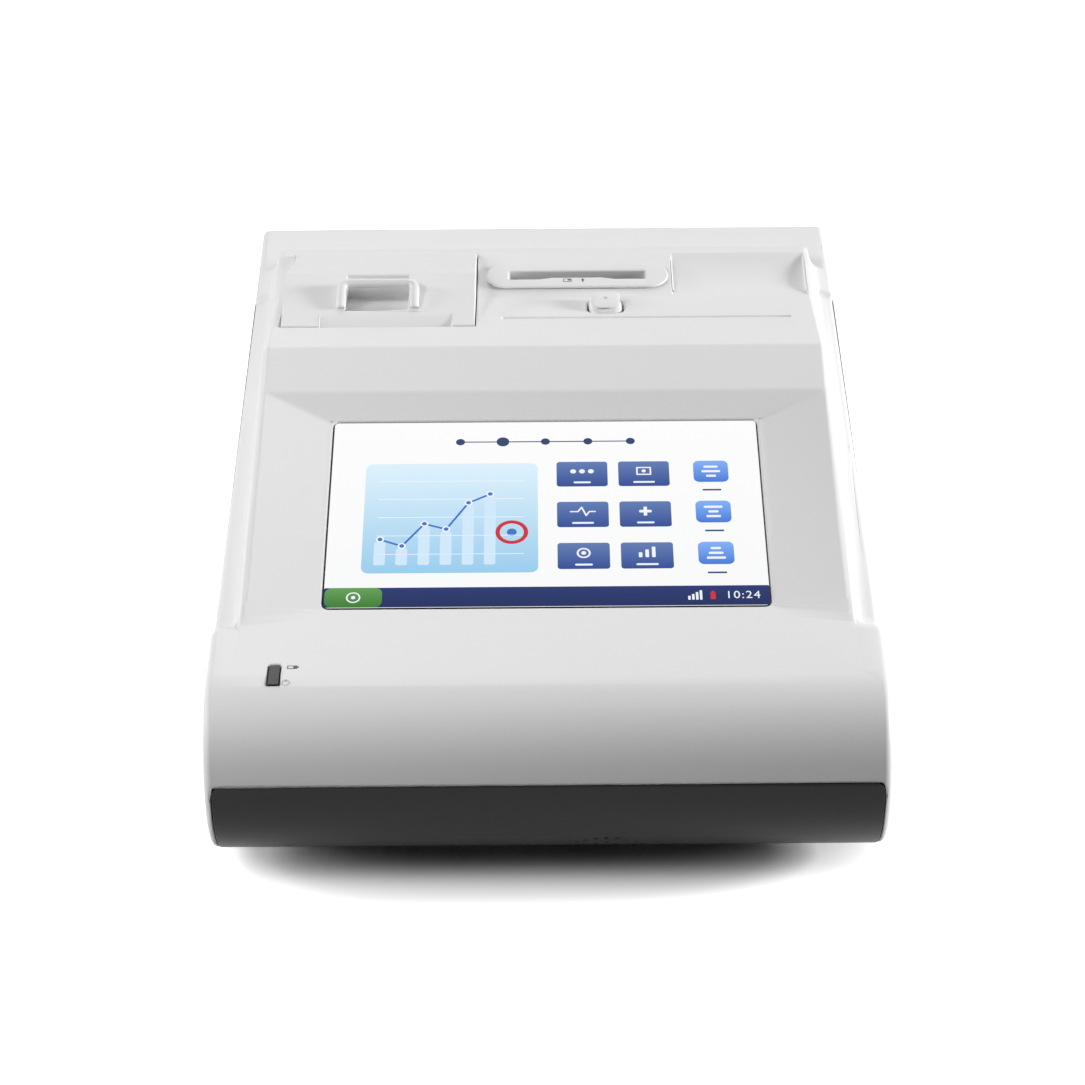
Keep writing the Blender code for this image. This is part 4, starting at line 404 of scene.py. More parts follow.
def turn_hips(piece):
    """Turns the fold in each upper corner of the screen recess, so that it runs from the screen's corner
    to the corner of the recess."""
    edit(piece, "DESELECT")
    end_edit()
    for edge in piece.data.edges:
        ends = [piece.data.vertices[index].co for index in edge.vertices]
        places = [Vector((abs(end.x), end.y, end.z)) for end in ends]
        near = [min((place - hip).length for place in places) for hip in (HIP_OUTER, HIP_INNER)]
        edge.select = max(near) < HIP_REACH
    bpy.ops.object.mode_set(mode="EDIT")
    bpy.ops.mesh.select_mode(type="EDGE")
    bpy.ops.mesh.edge_rotate(use_ccw=False)
    bpy.ops.mesh.select_mode(type="VERT")
    end_edit()


def lean_cap(piece):
    """Lowers the front of the release button's cap in a soft curve."""
    low, high = (Vector(corner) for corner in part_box("release_button"))
    for vertex in piece.data.vertices:
        rise = (vertex.co.z - high.z) / CAP_HEIGHT + 1
        front = (high.y - vertex.co.y) / (high.y - low.y)
        vertex.co.z -= CAP_DROP * min(max(rise, 0), 1) * min(max(front, 0), 1) ** 2


def mark_edges(piece, width, folds):
    """Chooses how far each edge is rounded: sharp ones as far as the room beside them allows, and faint
    ones only between broad faces, or also between narrower ones in the stretch of the folds."""
    body = piece.data
    beside = {}
    for polygon in body.polygons:
        for key in polygon.edge_keys:
            beside.setdefault(key, []).append(polygon)
    marks = body.attributes.new("bevel_weight_edge", "FLOAT", "EDGE")
    for edge in body.edges:
        pair = beside[tuple(sorted(edge.vertices))]
        if len(pair) != 2:
            continue
        start, end = (body.vertices[index].co for index in edge.vertices)
        length = (start - end).length
        turn = pair[0].normal.angle(pair[1].normal, 0)
        room = min(polygon.area for polygon in pair) / length
        if turn > CREASE:
            share = min(1.0, room / (width * ROOM_WIDTHS), length / (width * LENGTH_WIDTHS))
        else:
            folded = folds[0] < (start.y + end.y) / 2 < folds[1]
            share = float(turn > FAINT and room > (FOLD_ROOM if folded else BROAD_ROOM))
        if share > LEAST_SHARE:
            marks.data[edge.index].value = share


def refine(node, finish, edge, segments=2, reshape=None, folds=(0, 0), cushion=0):
    """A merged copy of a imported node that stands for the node. Its edges are rounded, or with a cushion
    it is softened all over by that many steps. reshape changes the copy before."""
    piece = bpy.data.objects.new(node + "_finished", frame["nodes"][node].data.copy())
    bpy.context.scene.collection.objects.link(piece)
    edit(piece)
    bpy.ops.mesh.remove_doubles(threshold=MERGE_REACH)
    end_edit()
    if reshape:
        reshape(piece)
    edit(piece)
    bpy.ops.mesh.dissolve_limited(angle_limit=FLAT)
    end_edit()
    if cushion:
        add_modifier(piece, "SUBSURF", levels=cushion, render_levels=cushion)
    else:
        mark_edges(piece, edge, folds)
        add_modifier(piece, "BEVEL", width=edge, segments=segments, limit_method="WEIGHT",
                     use_clamp_overlap=False, miter_outer="MITER_ARC")
    apply_modifiers(piece)
    edit(piece)
    bpy.ops.mesh.quads_convert_to_tris(quad_method="BEAUTY", ngon_method="BEAUTY")
    end_edit()
    bpy.ops.object.shade_smooth_by_angle(angle=CREASE)
    add_modifier(piece, "WEIGHTED_NORMAL", keep_sharp=True, weight=NORMAL_WEIGHT)
    settle(piece, piece.name, finish, body_name(node))
    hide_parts(node)
    return piece


# What is done to single mouldings only
OWN_WAYS = {"top_cover": {"reshape": turn_hips, "folds": RECESS_FOLDS}, "release_button": {"cushion": 2}}


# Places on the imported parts

# Least share of a face's normal that points the way looked for, and where up turns from z to y
FACING = 0.8
LYING = 0.7


def face_matrix(node, toward):
    """A frame on a part's main flat face: x to the side, y up the face and z out of it."""
    body = frame["nodes"][node].data
    toward = Vector(toward).normalized()
    facing = [polygon for polygon in body.polygons if polygon.normal.dot(toward) > FACING]
    face = max(facing, key=lambda polygon: polygon.area * polygon.normal.dot(toward))
    normal = face.normal.normalized()
    upward = Vector((0, 1, 0)) if abs(normal.z) > LYING else Vector((0, 0, 1))
    up = (upward - normal * upward.dot(normal)).normalized()
    side = up.cross(normal)
    low, high = (Vector(corner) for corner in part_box(node))
    middle = (low + high) / 2
    origin = middle + normal * (Vector(face.center) - middle).dot(normal)
    turn = Matrix((side, up, normal)).transposed().to_4x4()
    return Matrix.Translation(origin) @ turn


def shifted(matrix, s, t, out=0.0):
    return matrix @ Matrix.Translation((s, t, out))


def landed(matrix, node, reach=0.02):
    """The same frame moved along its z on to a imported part, and leaning as the part does there."""
    normal = matrix.col[2].to_3d()
    body = frame["nodes"][node].data
    faces = BVHTree.FromPolygons([vertex.co for vertex in body.vertices],
                                 [polygon.vertices for polygon in body.polygons])
    place, lean = faces.ray_cast(matrix.translation + normal * reach, -normal)[:2]
    if place is None:
        raise ValueError("nothing to land on: " + node)
    turn = normal.rotation_difference(lean).to_matrix() @ matrix.to_3x3()
    return Matrix.Translation(place) @ turn.to_4x4()


# Flat marks: each is made round the origin in its own plane and then laid on a frame. A mark starts a
# print bed above the plane and is as thick as its level in print steps, so that later ones lie on top.

PRINT_STEP = 0.00004
PRINT_BED = 0.00002
CORNER_SEGMENTS = 5
DISC_SIDES = 28
DOT_SIDES = 16
CHART_DOT_SIDES = 20
ARROW_SIDES = 3


def raised(piece, level):
    """Gives a flat face the thickness of its level."""
    edit(piece)
    bpy.ops.mesh.extrude_region_move(TRANSFORM_OT_translate={"value": (0, 0, PRINT_STEP * level)})
    bpy.ops.mesh.select_all(action="SELECT")
    bpy.ops.mesh.normals_make_consistent(inside=False)
    end_edit()
    return piece


def plate(centre, size, corner=0.0, level=1):
    """A thin plate with rounded corners."""
    deselect()
    bpy.ops.mesh.primitive_plane_add(size=1, location=(*centre, PRINT_BED))
    piece = bpy.context.active_object
    piece.scale = (*size, 1)
    apply_place()
    if corner:
        edit(piece)
        bpy.ops.mesh.bevel(offset=corner, segments=CORNER_SEGMENTS, affect="VERTICES")
        end_edit()
    return raised(piece, level)


def disc(centre, radius, level=1, sides=DISC_SIDES):
    deselect()
    bpy.ops.mesh.primitive_circle_add(vertices=sides, radius=radius, fill_type="NGON",
                                      location=(*centre, PRINT_BED))
    piece = bpy.context.active_object
    apply_place()
    return raised(piece, level)


def stroke(start, end, width, level=1):
    """A straight bar with round ends."""
    run = Vector((end[0] - start[0], end[1] - start[1]))
    nearly_half = 0.49
    piece = plate((0, 0), (run.length + width, width), width * nearly_half, level)
    piece.rotation_euler = (0, 0, math.atan2(run.y, run.x))
    piece.location = ((start[0] + end[0]) / 2, (start[1] + end[1]) / 2, 0)
    select_only(piece)
    apply_place()
    return piece


def strokes(places, width, level):
    """Bars from each place to the next."""
    return [stroke(start, end, width, level) for start, end in zip(places, places[1:])]


def ring(centre, radius, width, level=1, start=0.0, end=1.0):
    """A ring, or a stretch of one, made from a bezier circle with a thick line."""
    deselect()
    bpy.ops.curve.primitive_bezier_circle_add(radius=radius, location=(0, 0, 0))
    curve = bpy.context.active_object.data
    curve.resolution_u = 10
    curve.bevel_depth = width / 2
    curve.bevel_resolution = 1
    curve.use_fill_caps = True
    curve.bevel_factor_start = start
    curve.bevel_factor_end = end
    return meshed(centre, level, PRINT_STEP * level / width)


def digits(text, centre, height, level=1):
    """Clock digits."""
    deselect()
    bpy.ops.object.text_add(location=(0, 0, 0))
    writing = bpy.context.active_object.data
    writing.body = text
    writing.size = height
    writing.align_x = "CENTER"
    writing.align_y = "CENTER"
    writing.extrude = PRINT_STEP * level / 2
    writing.space_character = 1.15
    return meshed(centre, level, 1)


def meshed(centre, level, thinning):
    """Turns the active curve or text to a mesh, and then gives it its place and thickness."""
    bpy.ops.object.convert(target="MESH")
    piece = bpy.context.active_object
    piece.scale = (1, 1, thinning)
    piece.location = (*centre, PRINT_BED + PRINT_STEP * level / 2)
    apply_place()
    return piece


def outline(centre, size, width, level=1):
    """Four bars round a rectangle."""
    (x, y), (w, h) = centre, (size[0] / 2 - width / 2, size[1] / 2 - width / 2)
    corners = [(x - w, y - h), (x + w, y - h), (x + w, y + h), (x - w, y + h)]
    return strokes(corners + corners[:1], width, level)


def lay(name, group, matrix, finish, body="case"):
    """Joins marks into one piece and lays it on a frame."""
    deselect()
    for mark in group:
        mark.select_set(True)
    bpy.context.view_layer.objects.active = group[0]
    if len(group) > 1:
        bpy.ops.object.join()
    piece = group[0]
    piece.matrix_world = matrix
    select_only(piece)
    apply_place()
    return settle(piece, name, finish, body)


# Screen picture: places are metres right of and up from the screen's lower left corner

SCREEN_WIDTH = 0.1599
SCREEN_HEIGHT = 0.0954
SCREEN_BORDER = 0.00022
SCREEN_CORNER = 0.0016
GLASS_EDGE = 0.0002
SCREEN_FACING = (0, -0.4, 0.9)

BAR_HEIGHT = 0.0095
BAR_MIDDLE = BAR_HEIGHT / 2 + 0.0004
BAR_CORNER = 0.0006
TAB_MIDDLE = 0.0108
TAB_WIDTH = 0.0206
TAB_CORNER = 0.0028
CLOCK_MIDDLE = SCREEN_WIDTH - 0.0098
CLOCK_HEIGHT = 0.0050
CELL_MIDDLE = SCREEN_WIDTH - 0.0205
SIGNAL_LEFT = SCREEN_WIDTH - 0.0290
SIGNAL_LOW = BAR_MIDDLE - 0.0012
SIGNAL_STEP = 0.0014
SIGNAL_RISE = 0.0009

CHART_LEFT = 0.0130
CHART_RIGHT = 0.0770
CHART_LOW = 0.0170
CHART_HIGH = 0.0730
CHART_CORNER = 0.0028
CHART_SHARES = (0.30, 0.24, 0.44, 0.39, 0.63, 0.71)
CHART_START = 0.10
CHART_STEP = 0.125
RULE_COUNT = 5
RULE_LENGTH = 0.84
COLUMN_WIDTH = 0.0042
COLUMN_FOOT = 0.004
COLUMN_HEAD = 0.0012
SKY_SPAN = (0.016, 0.074)

TILE_COLUMNS = (0.0935, 0.1165)
TILE_ROWS = ((0.0185, 0.0315), (0.0395, 0.0525), (0.0605, 0.0735))
TILE_WIDTH = 0.0190
TILE_CORNER = 0.0012
KEY_COLUMN = 0.1415
KEY_WIDTH = 0.0130
KEY_HEIGHT_SHARE = 0.86
KEY_CORNER = 0.0022

STEP_HEIGHT = 0.0845
STEP_APART = 0.0160
STEP_COUNT = 5
STEP_NOW = 1


def screen_frame():
    middle = face_matrix("touch_glass", SCREEN_FACING)
    return shifted(middle, -SCREEN_WIDTH / 2, -SCREEN_HEIGHT / 2)


def make_screen_picture():
    refine("touch_glass", "screen_black", GLASS_EDGE)
    glass = screen_frame()
    middle = (SCREEN_WIDTH / 2, SCREEN_HEIGHT / 2)
    size = (SCREEN_WIDTH - 2 * SCREEN_BORDER, SCREEN_HEIGHT - 2 * SCREEN_BORDER)
    lay("screen_sheet", [plate(middle, size, SCREEN_CORNER)], glass, "screen_white")
    glass = shifted(glass, 0, 0, PRINT_STEP + PRINT_BED)
    make_screen_bar(glass)
    make_chart(glass)
    make_tiles(glass)
    make_keys(glass)
    make_steps(glass)


def make_screen_bar(glass):
    """The dark strip along the foot of the screen, with a tab, signal bars, a cell and a clock."""
    size = (SCREEN_WIDTH - 2 * SCREEN_BORDER, BAR_HEIGHT)
    lay("screen_bar", [plate((SCREEN_WIDTH / 2, BAR_MIDDLE), size, BAR_CORNER)], glass, "screen_navy")
    tab = (TAB_MIDDLE, BAR_MIDDLE)
    lay("screen_tab", [plate(tab, (TAB_WIDTH, BAR_HEIGHT), TAB_CORNER, 2)], glass, "screen_green")
    lay("screen_tab_ring", [ring(tab, 0.0023, 0.0007, 3), disc(tab, 0.0008, 3)], glass, "screen_pale")
    clock = digits("10:24", (CLOCK_MIDDLE, BAR_MIDDLE), CLOCK_HEIGHT, 2)
    lay("screen_clock", [clock], glass, "screen_pale")
    bars = [plate((SIGNAL_LEFT + k * SIGNAL_STEP, SIGNAL_LOW + k * SIGNAL_RISE / 2),
                  (0.0009, 0.0018 + k * SIGNAL_RISE), level=2) for k in range(4)]
    lay("screen_signal", bars, glass, "screen_pale")
    cell = [plate((CELL_MIDDLE, BAR_MIDDLE - 0.0002), (0.0018, 0.0034), 0.0003, 2),
            plate((CELL_MIDDLE, BAR_MIDDLE + 0.0018), (0.0009, 0.0006), level=2)]
    lay("screen_cell", cell, glass, "screen_red")


def make_chart(glass):
    """A pale blue panel with a rising line on thin rules, its dots and a gauge ring."""
    width, height = CHART_RIGHT - CHART_LEFT, CHART_HIGH - CHART_LOW
    middle = ((CHART_LEFT + CHART_RIGHT) / 2, (CHART_LOW + CHART_HIGH) / 2)
    lay("screen_panel", [plate(middle, (width, height), CHART_CORNER)], glass, "screen_sky")
    rules = [plate((middle[0], CHART_LOW + height * (k + 1) / (RULE_COUNT + 1)),
                   (width * RULE_LENGTH, 0.0003), level=2) for k in range(RULE_COUNT)]
    lay("screen_rules", rules, glass, "screen_pale")
    places = [(CHART_LEFT + width * (CHART_START + CHART_STEP * k), CHART_LOW + height * share)
              for k, share in enumerate(CHART_SHARES)]
    columns = [plate((s, (CHART_LOW + COLUMN_FOOT + t - COLUMN_HEAD) / 2),
                     (COLUMN_WIDTH, t - CHART_LOW - (COLUMN_FOOT + COLUMN_HEAD)), 0.0008, 2)
               for s, t in places]
    lay("screen_columns", columns, glass, "screen_haze")
    lay("screen_line", strokes(places, 0.0008, 3), glass, "screen_blue")
    lay("screen_dots", [disc(place, 0.0015, 4, CHART_DOT_SIDES) for place in places], glass, "screen_pale")
    lay("screen_cores", [disc(place, 0.0009, 5, CHART_DOT_SIDES) for place in places], glass, "screen_blue")
    gauge, radius = (CHART_RIGHT - width * 0.15, CHART_LOW + height * 0.36), 0.0052
    lay("screen_gauge_track", [ring(gauge, radius, 0.0015, 2)], glass, "screen_pale")
    lay("screen_gauge", [ring(gauge, radius, 0.0016, 4, end=0.66)], glass, "screen_red")
    lay("screen_gauge_core", [disc(gauge, 0.0018, 2)], glass, "screen_blue")


# Plain motifs of the tiles

def target_motif(s, t):
    return [ring((s, t), 0.0022, 0.0007, 2), disc((s, t), 0.0009, 2, DOT_SIDES)]


def bars_motif(s, t):
    apart, rise = 0.0024, 0.0014
    return [plate((s - apart + apart * k, t - 0.0011 + rise / 2 * k), (0.0013, 0.0024 + rise * k), 0.0003, 2)
            for k in range(3)]


def pulse_motif(s, t):
    bends = ((-0.0045, 0), (-0.0018, 0), (-0.0004, 0.0022), (0.0012, -0.0020), (0.0024, 0), (0.0045, 0))
    return strokes([(s + x, t + y) for x, y in bends], 0.0006, 2)


def plus_motif(s, t):
    length, width = 0.0046, 0.0013
    return [plate((s, t), size, 0.0004, 2) for size in ((length, width), (width, length))]


def dots_motif(s, t):
    apart = 0.0033
    return [disc((s - apart + apart * k, t), 0.0011, 2, DOT_SIDES) for k in range(3)]


def frame_motif(s, t):
    return outline((s, t), (0.0056, 0.0042), 0.0006, 2) + [disc((s, t), 0.0008, 2, DOT_SIDES)]


MOTIFS = ((target_motif, bars_motif), (pulse_motif, plus_motif), (dots_motif, frame_motif))


def make_tiles(glass):
    """Three rows of two dark tiles, each with a plain motif over a short bar."""
    marks = []
    for row, (low, high) in enumerate(TILE_ROWS):
        middle = (low + high) / 2
        tiles = [plate((s, middle), (TILE_WIDTH, high - low), TILE_CORNER) for s in TILE_COLUMNS]
        lay(f"screen_tiles_{row}", tiles, glass, f"screen_tile_{row}")
        for column, s in enumerate(TILE_COLUMNS):
            marks += MOTIFS[row][column](s, middle + 0.0014)
            length = 0.0064 + 0.0016 * ((row + column) % 2)
            marks.append(plate((s, low + 0.0021), (length, 0.0009), 0.0004, 2))
    lay("screen_marks", marks, glass, "screen_pale")


def make_keys(glass):
    """Three bright keys at the right, each over a short dark bar."""
    marks, bars = [], []
    for row, (low, high) in enumerate(TILE_ROWS):
        middle = (low + high) / 2
        key = plate((KEY_COLUMN, middle + 0.0010), (KEY_WIDTH, (high - low) * KEY_HEIGHT_SHARE), KEY_CORNER)
        lay(f"screen_key_{row}", [key], glass, f"screen_key_{row}")
        for k in range(3):
            place = (KEY_COLUMN, middle - 0.0014 + 0.0024 * k)
            marks.append(plate(place, (0.0070 - 0.0016 * ((k + row) % 3), 0.0011), 0.0005, 2))
        bars.append(plate((KEY_COLUMN, low - 0.0022), (0.0070, 0.0008), 0.0003))
    lay("screen_key_marks", marks, glass, "screen_pale")
    lay("screen_key_bars", bars, glass, "screen_ink")


def make_steps(glass):
    """A row of step dots on a thin line along the top of the screen."""
    middle = SCREEN_WIDTH / 2
    dots = [plate((middle, STEP_HEIGHT), (STEP_APART * (STEP_COUNT - 1), 0.0005))]
    for k in range(STEP_COUNT):
        radius = 0.0024 if k == STEP_NOW else 0.0017
        dots.append(disc((middle + (k - STEP_COUNT // 2) * STEP_APART, STEP_HEIGHT), radius, 2))
    lay("screen_steps", dots, glass, "screen_ink")


# Small signs on the case, and painted shade for the hollow in the release button's cap

def make_case_signs():
    """A cell and a power sign beside the status window, a card and an arrow under the card slot, and a grey
    ring and dot of painted shade for the hollow in the release button's cap."""
    window = face_matrix("status_window", SCREEN_FACING)
    cell = landed(shifted(window, 0.0061, 0.0040), "top_cover")
    marks = outline((0, 0), (0.0034, 0.0018), 0.0003)
    marks.append(plate((0.0020, 0), (0.0004, 0.0009)))
    marks.append(plate((0.0009, 0), (0.0011, 0.0010)))
    lay("cell_sign", marks, cell, "sign_grey")
    clear = 0.00008
    power = shifted(landed(shifted(window, 0.0044, -0.0042), "top_cover"), 0, 0, clear)
    line = 0.00022
    marks = [ring((0, 0), 0.00125, line, 1, 0.08, 0.92), stroke((0.0005, 0), (0.0016, 0), line)]
    turned = power @ Matrix.Rotation(math.radians(90), 4, "Z")
    lay("power_sign", marks, turned, "sign_pale")
    bezel = face_matrix("slot_bezel", (0, -0.3, 0.95))
    card = landed(shifted(bezel, -0.0040, -0.0036), "slot_bezel")
    marks = outline((0, 0), (0.0034, 0.0021), 0.00028) + [plate((0.0007, 0.0002), (0.0011, 0.0009))]
    lay("card_sign", marks, card, "sign_grey")
    arrow = landed(shifted(bezel, 0.0022, -0.0036), "slot_bezel")
    marks = [plate((0, -0.0004), (0.0007, 0.0012)), disc((0, 0.0005), 0.0008, sides=ARROW_SIDES)]
    lay("arrow_sign", marks, arrow, "sign_grey")
    button = landed(face_matrix("release_button", (0, 0, 1)), "release_button")
    # A grey ring and dot: painted shade standing for the hollow in the middle of the button's cap
    marks = [ring((0, 0), 0.0006, 0.0003), disc((0, 0), 0.0004)]
    hollow_shade = lay("button_dimple", marks, button, "sign_faint", body_name("release_button"))
    lean_cap(hollow_shade)


# Contacts in the rear sockets and marks on the rocker: places are metres to the side of the rear panel's
# middle, up from it and out of it

USB_PLACES = (("usb_port_1", -0.0140), ("usb_port_2", 0.0050))
NETWORK_PLACE = 0.0250
SERIAL_PLACE = 0.0500
INLET_PLACE = -0.0540
ROCKER_MARK_PLACE = 0.0040

USB_CONTACTS = (-0.0035, -0.0012, 0.0012, 0.0035)
NETWORK_WIRES = 8
NETWORK_PITCH = 0.00110
SERIAL_ROWS = ((5, 0.0014), (4, -0.0014))
SERIAL_PITCH = 0.00277
LINING_CORNER = 0.0002
PIN_SIDES = 20
TIP_SHARE = 0.45


def box_at(low, high, corner=0.0):
    """A box between two corners, with rounded edges if a corner size is given."""
    deselect()
    bpy.ops.mesh.primitive_cube_add(size=1, location=[(l + h) / 2 for l, h in zip(low, high)])
    piece = bpy.context.active_object
    piece.scale = [h - l for l, h in zip(low, high)]
    apply_place()
    if corner:
        edit(piece)
        bpy.ops.mesh.bevel(offset=corner, segments=2, affect="EDGES")
        end_edit()
    return piece


def box_across(middle, half, low, high, corner=0.0):
    """A box as wide to both sides of a middle, between two places up and out."""
    return box_at((middle - half, *low), (middle + half, *high), corner)


def pin_at(centre, radius, low, high):
    """A round pin with a rounded tip, standing along z."""
    deselect()
    bpy.ops.mesh.primitive_cylinder_add(vertices=PIN_SIDES, radius=radius, depth=high - low,
                                        location=(*centre, (low + high) / 2))
    piece = bpy.context.active_object
    apply_place()
    edit(piece, "DESELECT")
    bpy.ops.mesh.select_mode(type="FACE")
    end_edit()
    for polygon in piece.data.polygons:
        polygon.select = polygon.normal.z > 0.9
    bpy.ops.object.mode_set(mode="EDIT")
    bpy.ops.mesh.bevel(offset=radius * TIP_SHARE, segments=3, affect="EDGES")
    end_edit()
    return piece


def row_of(count, pitch):
    """Places of a row round its middle."""
    return [(k - (count - 1) / 2) * pitch for k in range(count)]


def make_contacts():
    """Tongues, pins and wires inside the sockets of the rear panel."""
    rear = face_matrix("rear_panel", (0, 1, 0.2))
    for port, s in USB_PLACES:
        tongue = box_across(s, 0.0056, (0.0002, -0.0111), (0.0021, 0.0002), LINING_CORNER)
        lay(port + "_tongue", [tongue], rear, "inner_plastic")
        strips = [box_across(s + x, 0.0005, (0.00005, -0.0100), (0.0003, -0.0008)) for x in USB_CONTACTS]
        lay(port + "_contacts", strips, rear, "brass")
    s, half, block = NETWORK_PLACE, 0.0071, 0.0030
    lining = [box_across(s, half, (-half, -0.0166), (half, -0.0156)),
              box_at((s - half, block, -0.0160), (s - block, half, -0.0004), LINING_CORNER),
              box_at((s + block, block, -0.0160), (s + half, half, -0.0004), LINING_CORNER)]
    lay("network_lining", lining, rear, "inner_plastic")
    wires = [box_across(s + x, 0.00028, (-0.0066, -0.0150), (-0.0061, -0.0030))
             for x in row_of(NETWORK_WIRES, NETWORK_PITCH)]
    lay("network_wires", wires, rear, "brass")
    insert = box_across(SERIAL_PLACE, 0.0078, (-0.0034, -0.0068), (0.0034, -0.0040), 0.0003)
    lay("serial_insert", [insert], rear, "inner_plastic")
    pins = [pin_at((SERIAL_PLACE + x, t), 0.0005, -0.0050, 0.0006)
            for count, t in SERIAL_ROWS for x in row_of(count, SERIAL_PITCH)]
    lay("serial_pins", pins, rear, "brass")
    lay("inlet_pin", [pin_at((INLET_PLACE, 0), 0.0010, -0.0092, -0.0004)], rear, "steel")


def make_rocker_marks():
    """A bar on the upper half of the rear rocker and a ring on the lower half."""
    rocker = body_name("power_rocker")
    upper, lower = (landed(shifted(face_matrix("power_rocker", (0, 0.9, lean)), 0, t), "power_rocker")
                    for lean, t in ((-0.45, ROCKER_MARK_PLACE), (0.45, -ROCKER_MARK_PLACE)))
    half, line = 0.0013, 0.0005
    lay("rocker_bar", [stroke((0, -half), (0, half), line)], upper, "sign_light", rocker)
    lay("rocker_ring", [ring((0, 0), 0.0014, line)], lower, "sign_light", rocker)


# Stage

FLOOR_SIZE = 12
FLOOR_GREY = (0.22, 0.22, 0.22)
WHITE = (1, 1, 1)

# The floor starts to glow near the outline of the case, whose half sizes these are. The numbers are
# fourth powers of the distance as a share of them.
FLOOR_HALVES = (0.130, 0.157)
GLOW_START = 0.36
GLOW_FULL = 1.55

# Each lamp's name, place, size and the setting that holds its power
LAMPS = (("left_lamp", (-1.30, 0.07, 0.52), 0.25, "left_power"),
         ("right_lamp", (1.33, -0.07, 0.41), 0.25, "right_power"),
         ("front_lamp", (-0.70, -0.50, 0.70), 0.40, "front_power"),
         ("top_lamp", (0, 0.80, 1.10), 1.20, "top_power"))
LAMP_TARGET = Vector((0, 0, 0.1))

# Camera of the photograph, solved from the screen's corners and the outline of the case
PHOTO_SIDE = 1085
PHOTO_FOCAL = 2784
SENSOR_WIDTH = 36
CAMERA_PLACE = Vector((-0.0012, -0.9918, 0.5027))
CAMERA_PITCH = math.radians(23.72)
CAMERA_YAW = math.radians(-0.01)
CAMERA_ROLL = math.radians(-0.42)
CAMERA_CLIP = (0.01, 50)


def make_floor():
    """White to the camera and in reflections, darker for the light that it throws back, and glowing
    further away, so that the ground fades to plain white."""
    deselect()
    bpy.ops.mesh.primitive_plane_add(size=FLOOR_SIZE, location=(0, 0, 0))
    floor = bpy.context.active_object
    floor.name = "floor"
    finish = Finish("floor_white", Roughness=1.0, Specular_IOR_Level=0.0, Emission_Color=(*WHITE, 1))
    seen = finish.rays("Camera", "Glossy")
    powers = []
    for axis, half in zip("XY", FLOOR_HALVES):
        share = finish.add("ShaderNodeSeparateXYZ", {}, {"Vector": finish.here()}, axis) / half
        square = share * share
        powers.append(square * square)
    glow = finish.add("ShaderNodeMapRange", {"interpolation_type": "SMOOTHSTEP"},
                      {"Value": powers[0] + powers[1], "From Min": GLOW_START, "From Max": GLOW_FULL})
    finish.drive(Base_Color=finish.blend(seen, FLOOR_GREY, WHITE), Emission_Strength=seen * glow)
    floor.data.materials.append(finish.material)


def add_lamp(name, place, size, power):
    deselect()
    bpy.ops.object.light_add(type="AREA", location=place)
    lamp = bpy.context.active_object
    lamp.name = name
    lamp.data.size = size
    lamp.data.energy = power
    lamp.rotation_euler = (LAMP_TARGET - Vector(place)).to_track_quat("-Z", "Y").to_euler()


def make_world(fill):
    """White to the camera and in reflections, and only a faint fill for the rest."""
    world = bpy.data.worlds.new("studio")
    bpy.context.scene.world = world
    nodes = Nodes(world)
    backdrop = nodes.tree.nodes["Background"]
    seen = nodes.rays("Camera", "Glossy", "Transmission")
    level = nodes.add("ShaderNodeMapRange", {}, {"Value": seen, "To Min": fill})
    nodes.feed(backdrop.inputs["Strength"], level)
    nodes.feed(backdrop.inputs["Color"], (*WHITE, 1))


def make_camera():
    ahead = Vector((math.sin(CAMERA_YAW) * math.cos(CAMERA_PITCH),
                    math.cos(CAMERA_YAW) * math.cos(CAMERA_PITCH), -math.sin(CAMERA_PITCH)))
    right = Vector((math.cos(CAMERA_YAW), -math.sin(CAMERA_YAW), 0))
    up = right.cross(ahead)
    turned_right = right * math.cos(CAMERA_ROLL) + up * math.sin(CAMERA_ROLL)
    turned_up = up * math.cos(CAMERA_ROLL) - right * math.sin(CAMERA_ROLL)
    deselect()
    bpy.ops.object.camera_add(location=CAMERA_PLACE)
    camera = bpy.context.active_object
    camera.rotation_euler = Matrix((turned_right, turned_up, -ahead)).transposed().to_euler()
    camera.data.sensor_width = SENSOR_WIDTH
    camera.data.lens = SENSOR_WIDTH * PHOTO_FOCAL / PHOTO_SIDE
    camera.data.clip_start, camera.data.clip_end = CAMERA_CLIP
    bpy.context.scene.camera = camera


# Settings, operators and panel

class AnalyzerColours(bpy.types.PropertyGroup):
    case_colour: bpy.props.FloatVectorProperty(
        name="Case colour", description="Colour of the white mouldings", subtype="COLOR", size=3,
        default=(0.80, 0.80, 0.80), min=0, max=1)
    bumper_colour: bpy.props.FloatVectorProperty(
        name="Bumper colour", description="Colour of the dark bumper", subtype="COLOR", size=3,
        default=(0.0095, 0.0095, 0.0102), min=0, max=1)


class AnalyzerSizes(bpy.types.PropertyGroup):
    edge_round: bpy.props.FloatProperty(
        name="Edge rounding", description="Rounding of the edges of the white mouldings",
        default=0.0005, min=0.0001, max=0.001, subtype="DISTANCE", unit="LENGTH")
    small_round: bpy.props.FloatProperty(
        name="Small rounding", description="Rounding of the edges of small parts",
        default=0.0002, min=0.00005, max=0.0005, subtype="DISTANCE", unit="LENGTH")


class AnalyzerLight(bpy.types.PropertyGroup):
    left_power: bpy.props.FloatProperty(
        name="Left light", description="Power of the left light",
        default=5.4, min=0, subtype="POWER", unit="POWER")
    right_power: bpy.props.FloatProperty(
        name="Right light", description="Power of the low right light",
        default=21.0, min=0, subtype="POWER", unit="POWER")
    front_power: bpy.props.FloatProperty(
        name="Front light", description="Power of the light at the front left",
        default=5.3, min=0, subtype="POWER", unit="POWER")
    top_power: bpy.props.FloatProperty(
        name="Top light", description="Power of the broad light over the rear",
        default=7.0, min=0, subtype="POWER", unit="POWER")
    fill: bpy.props.FloatProperty(
        name="Fill light", description="Strength of the even light from all round",
        default=0.02, min=0, max=1, subtype="FACTOR")


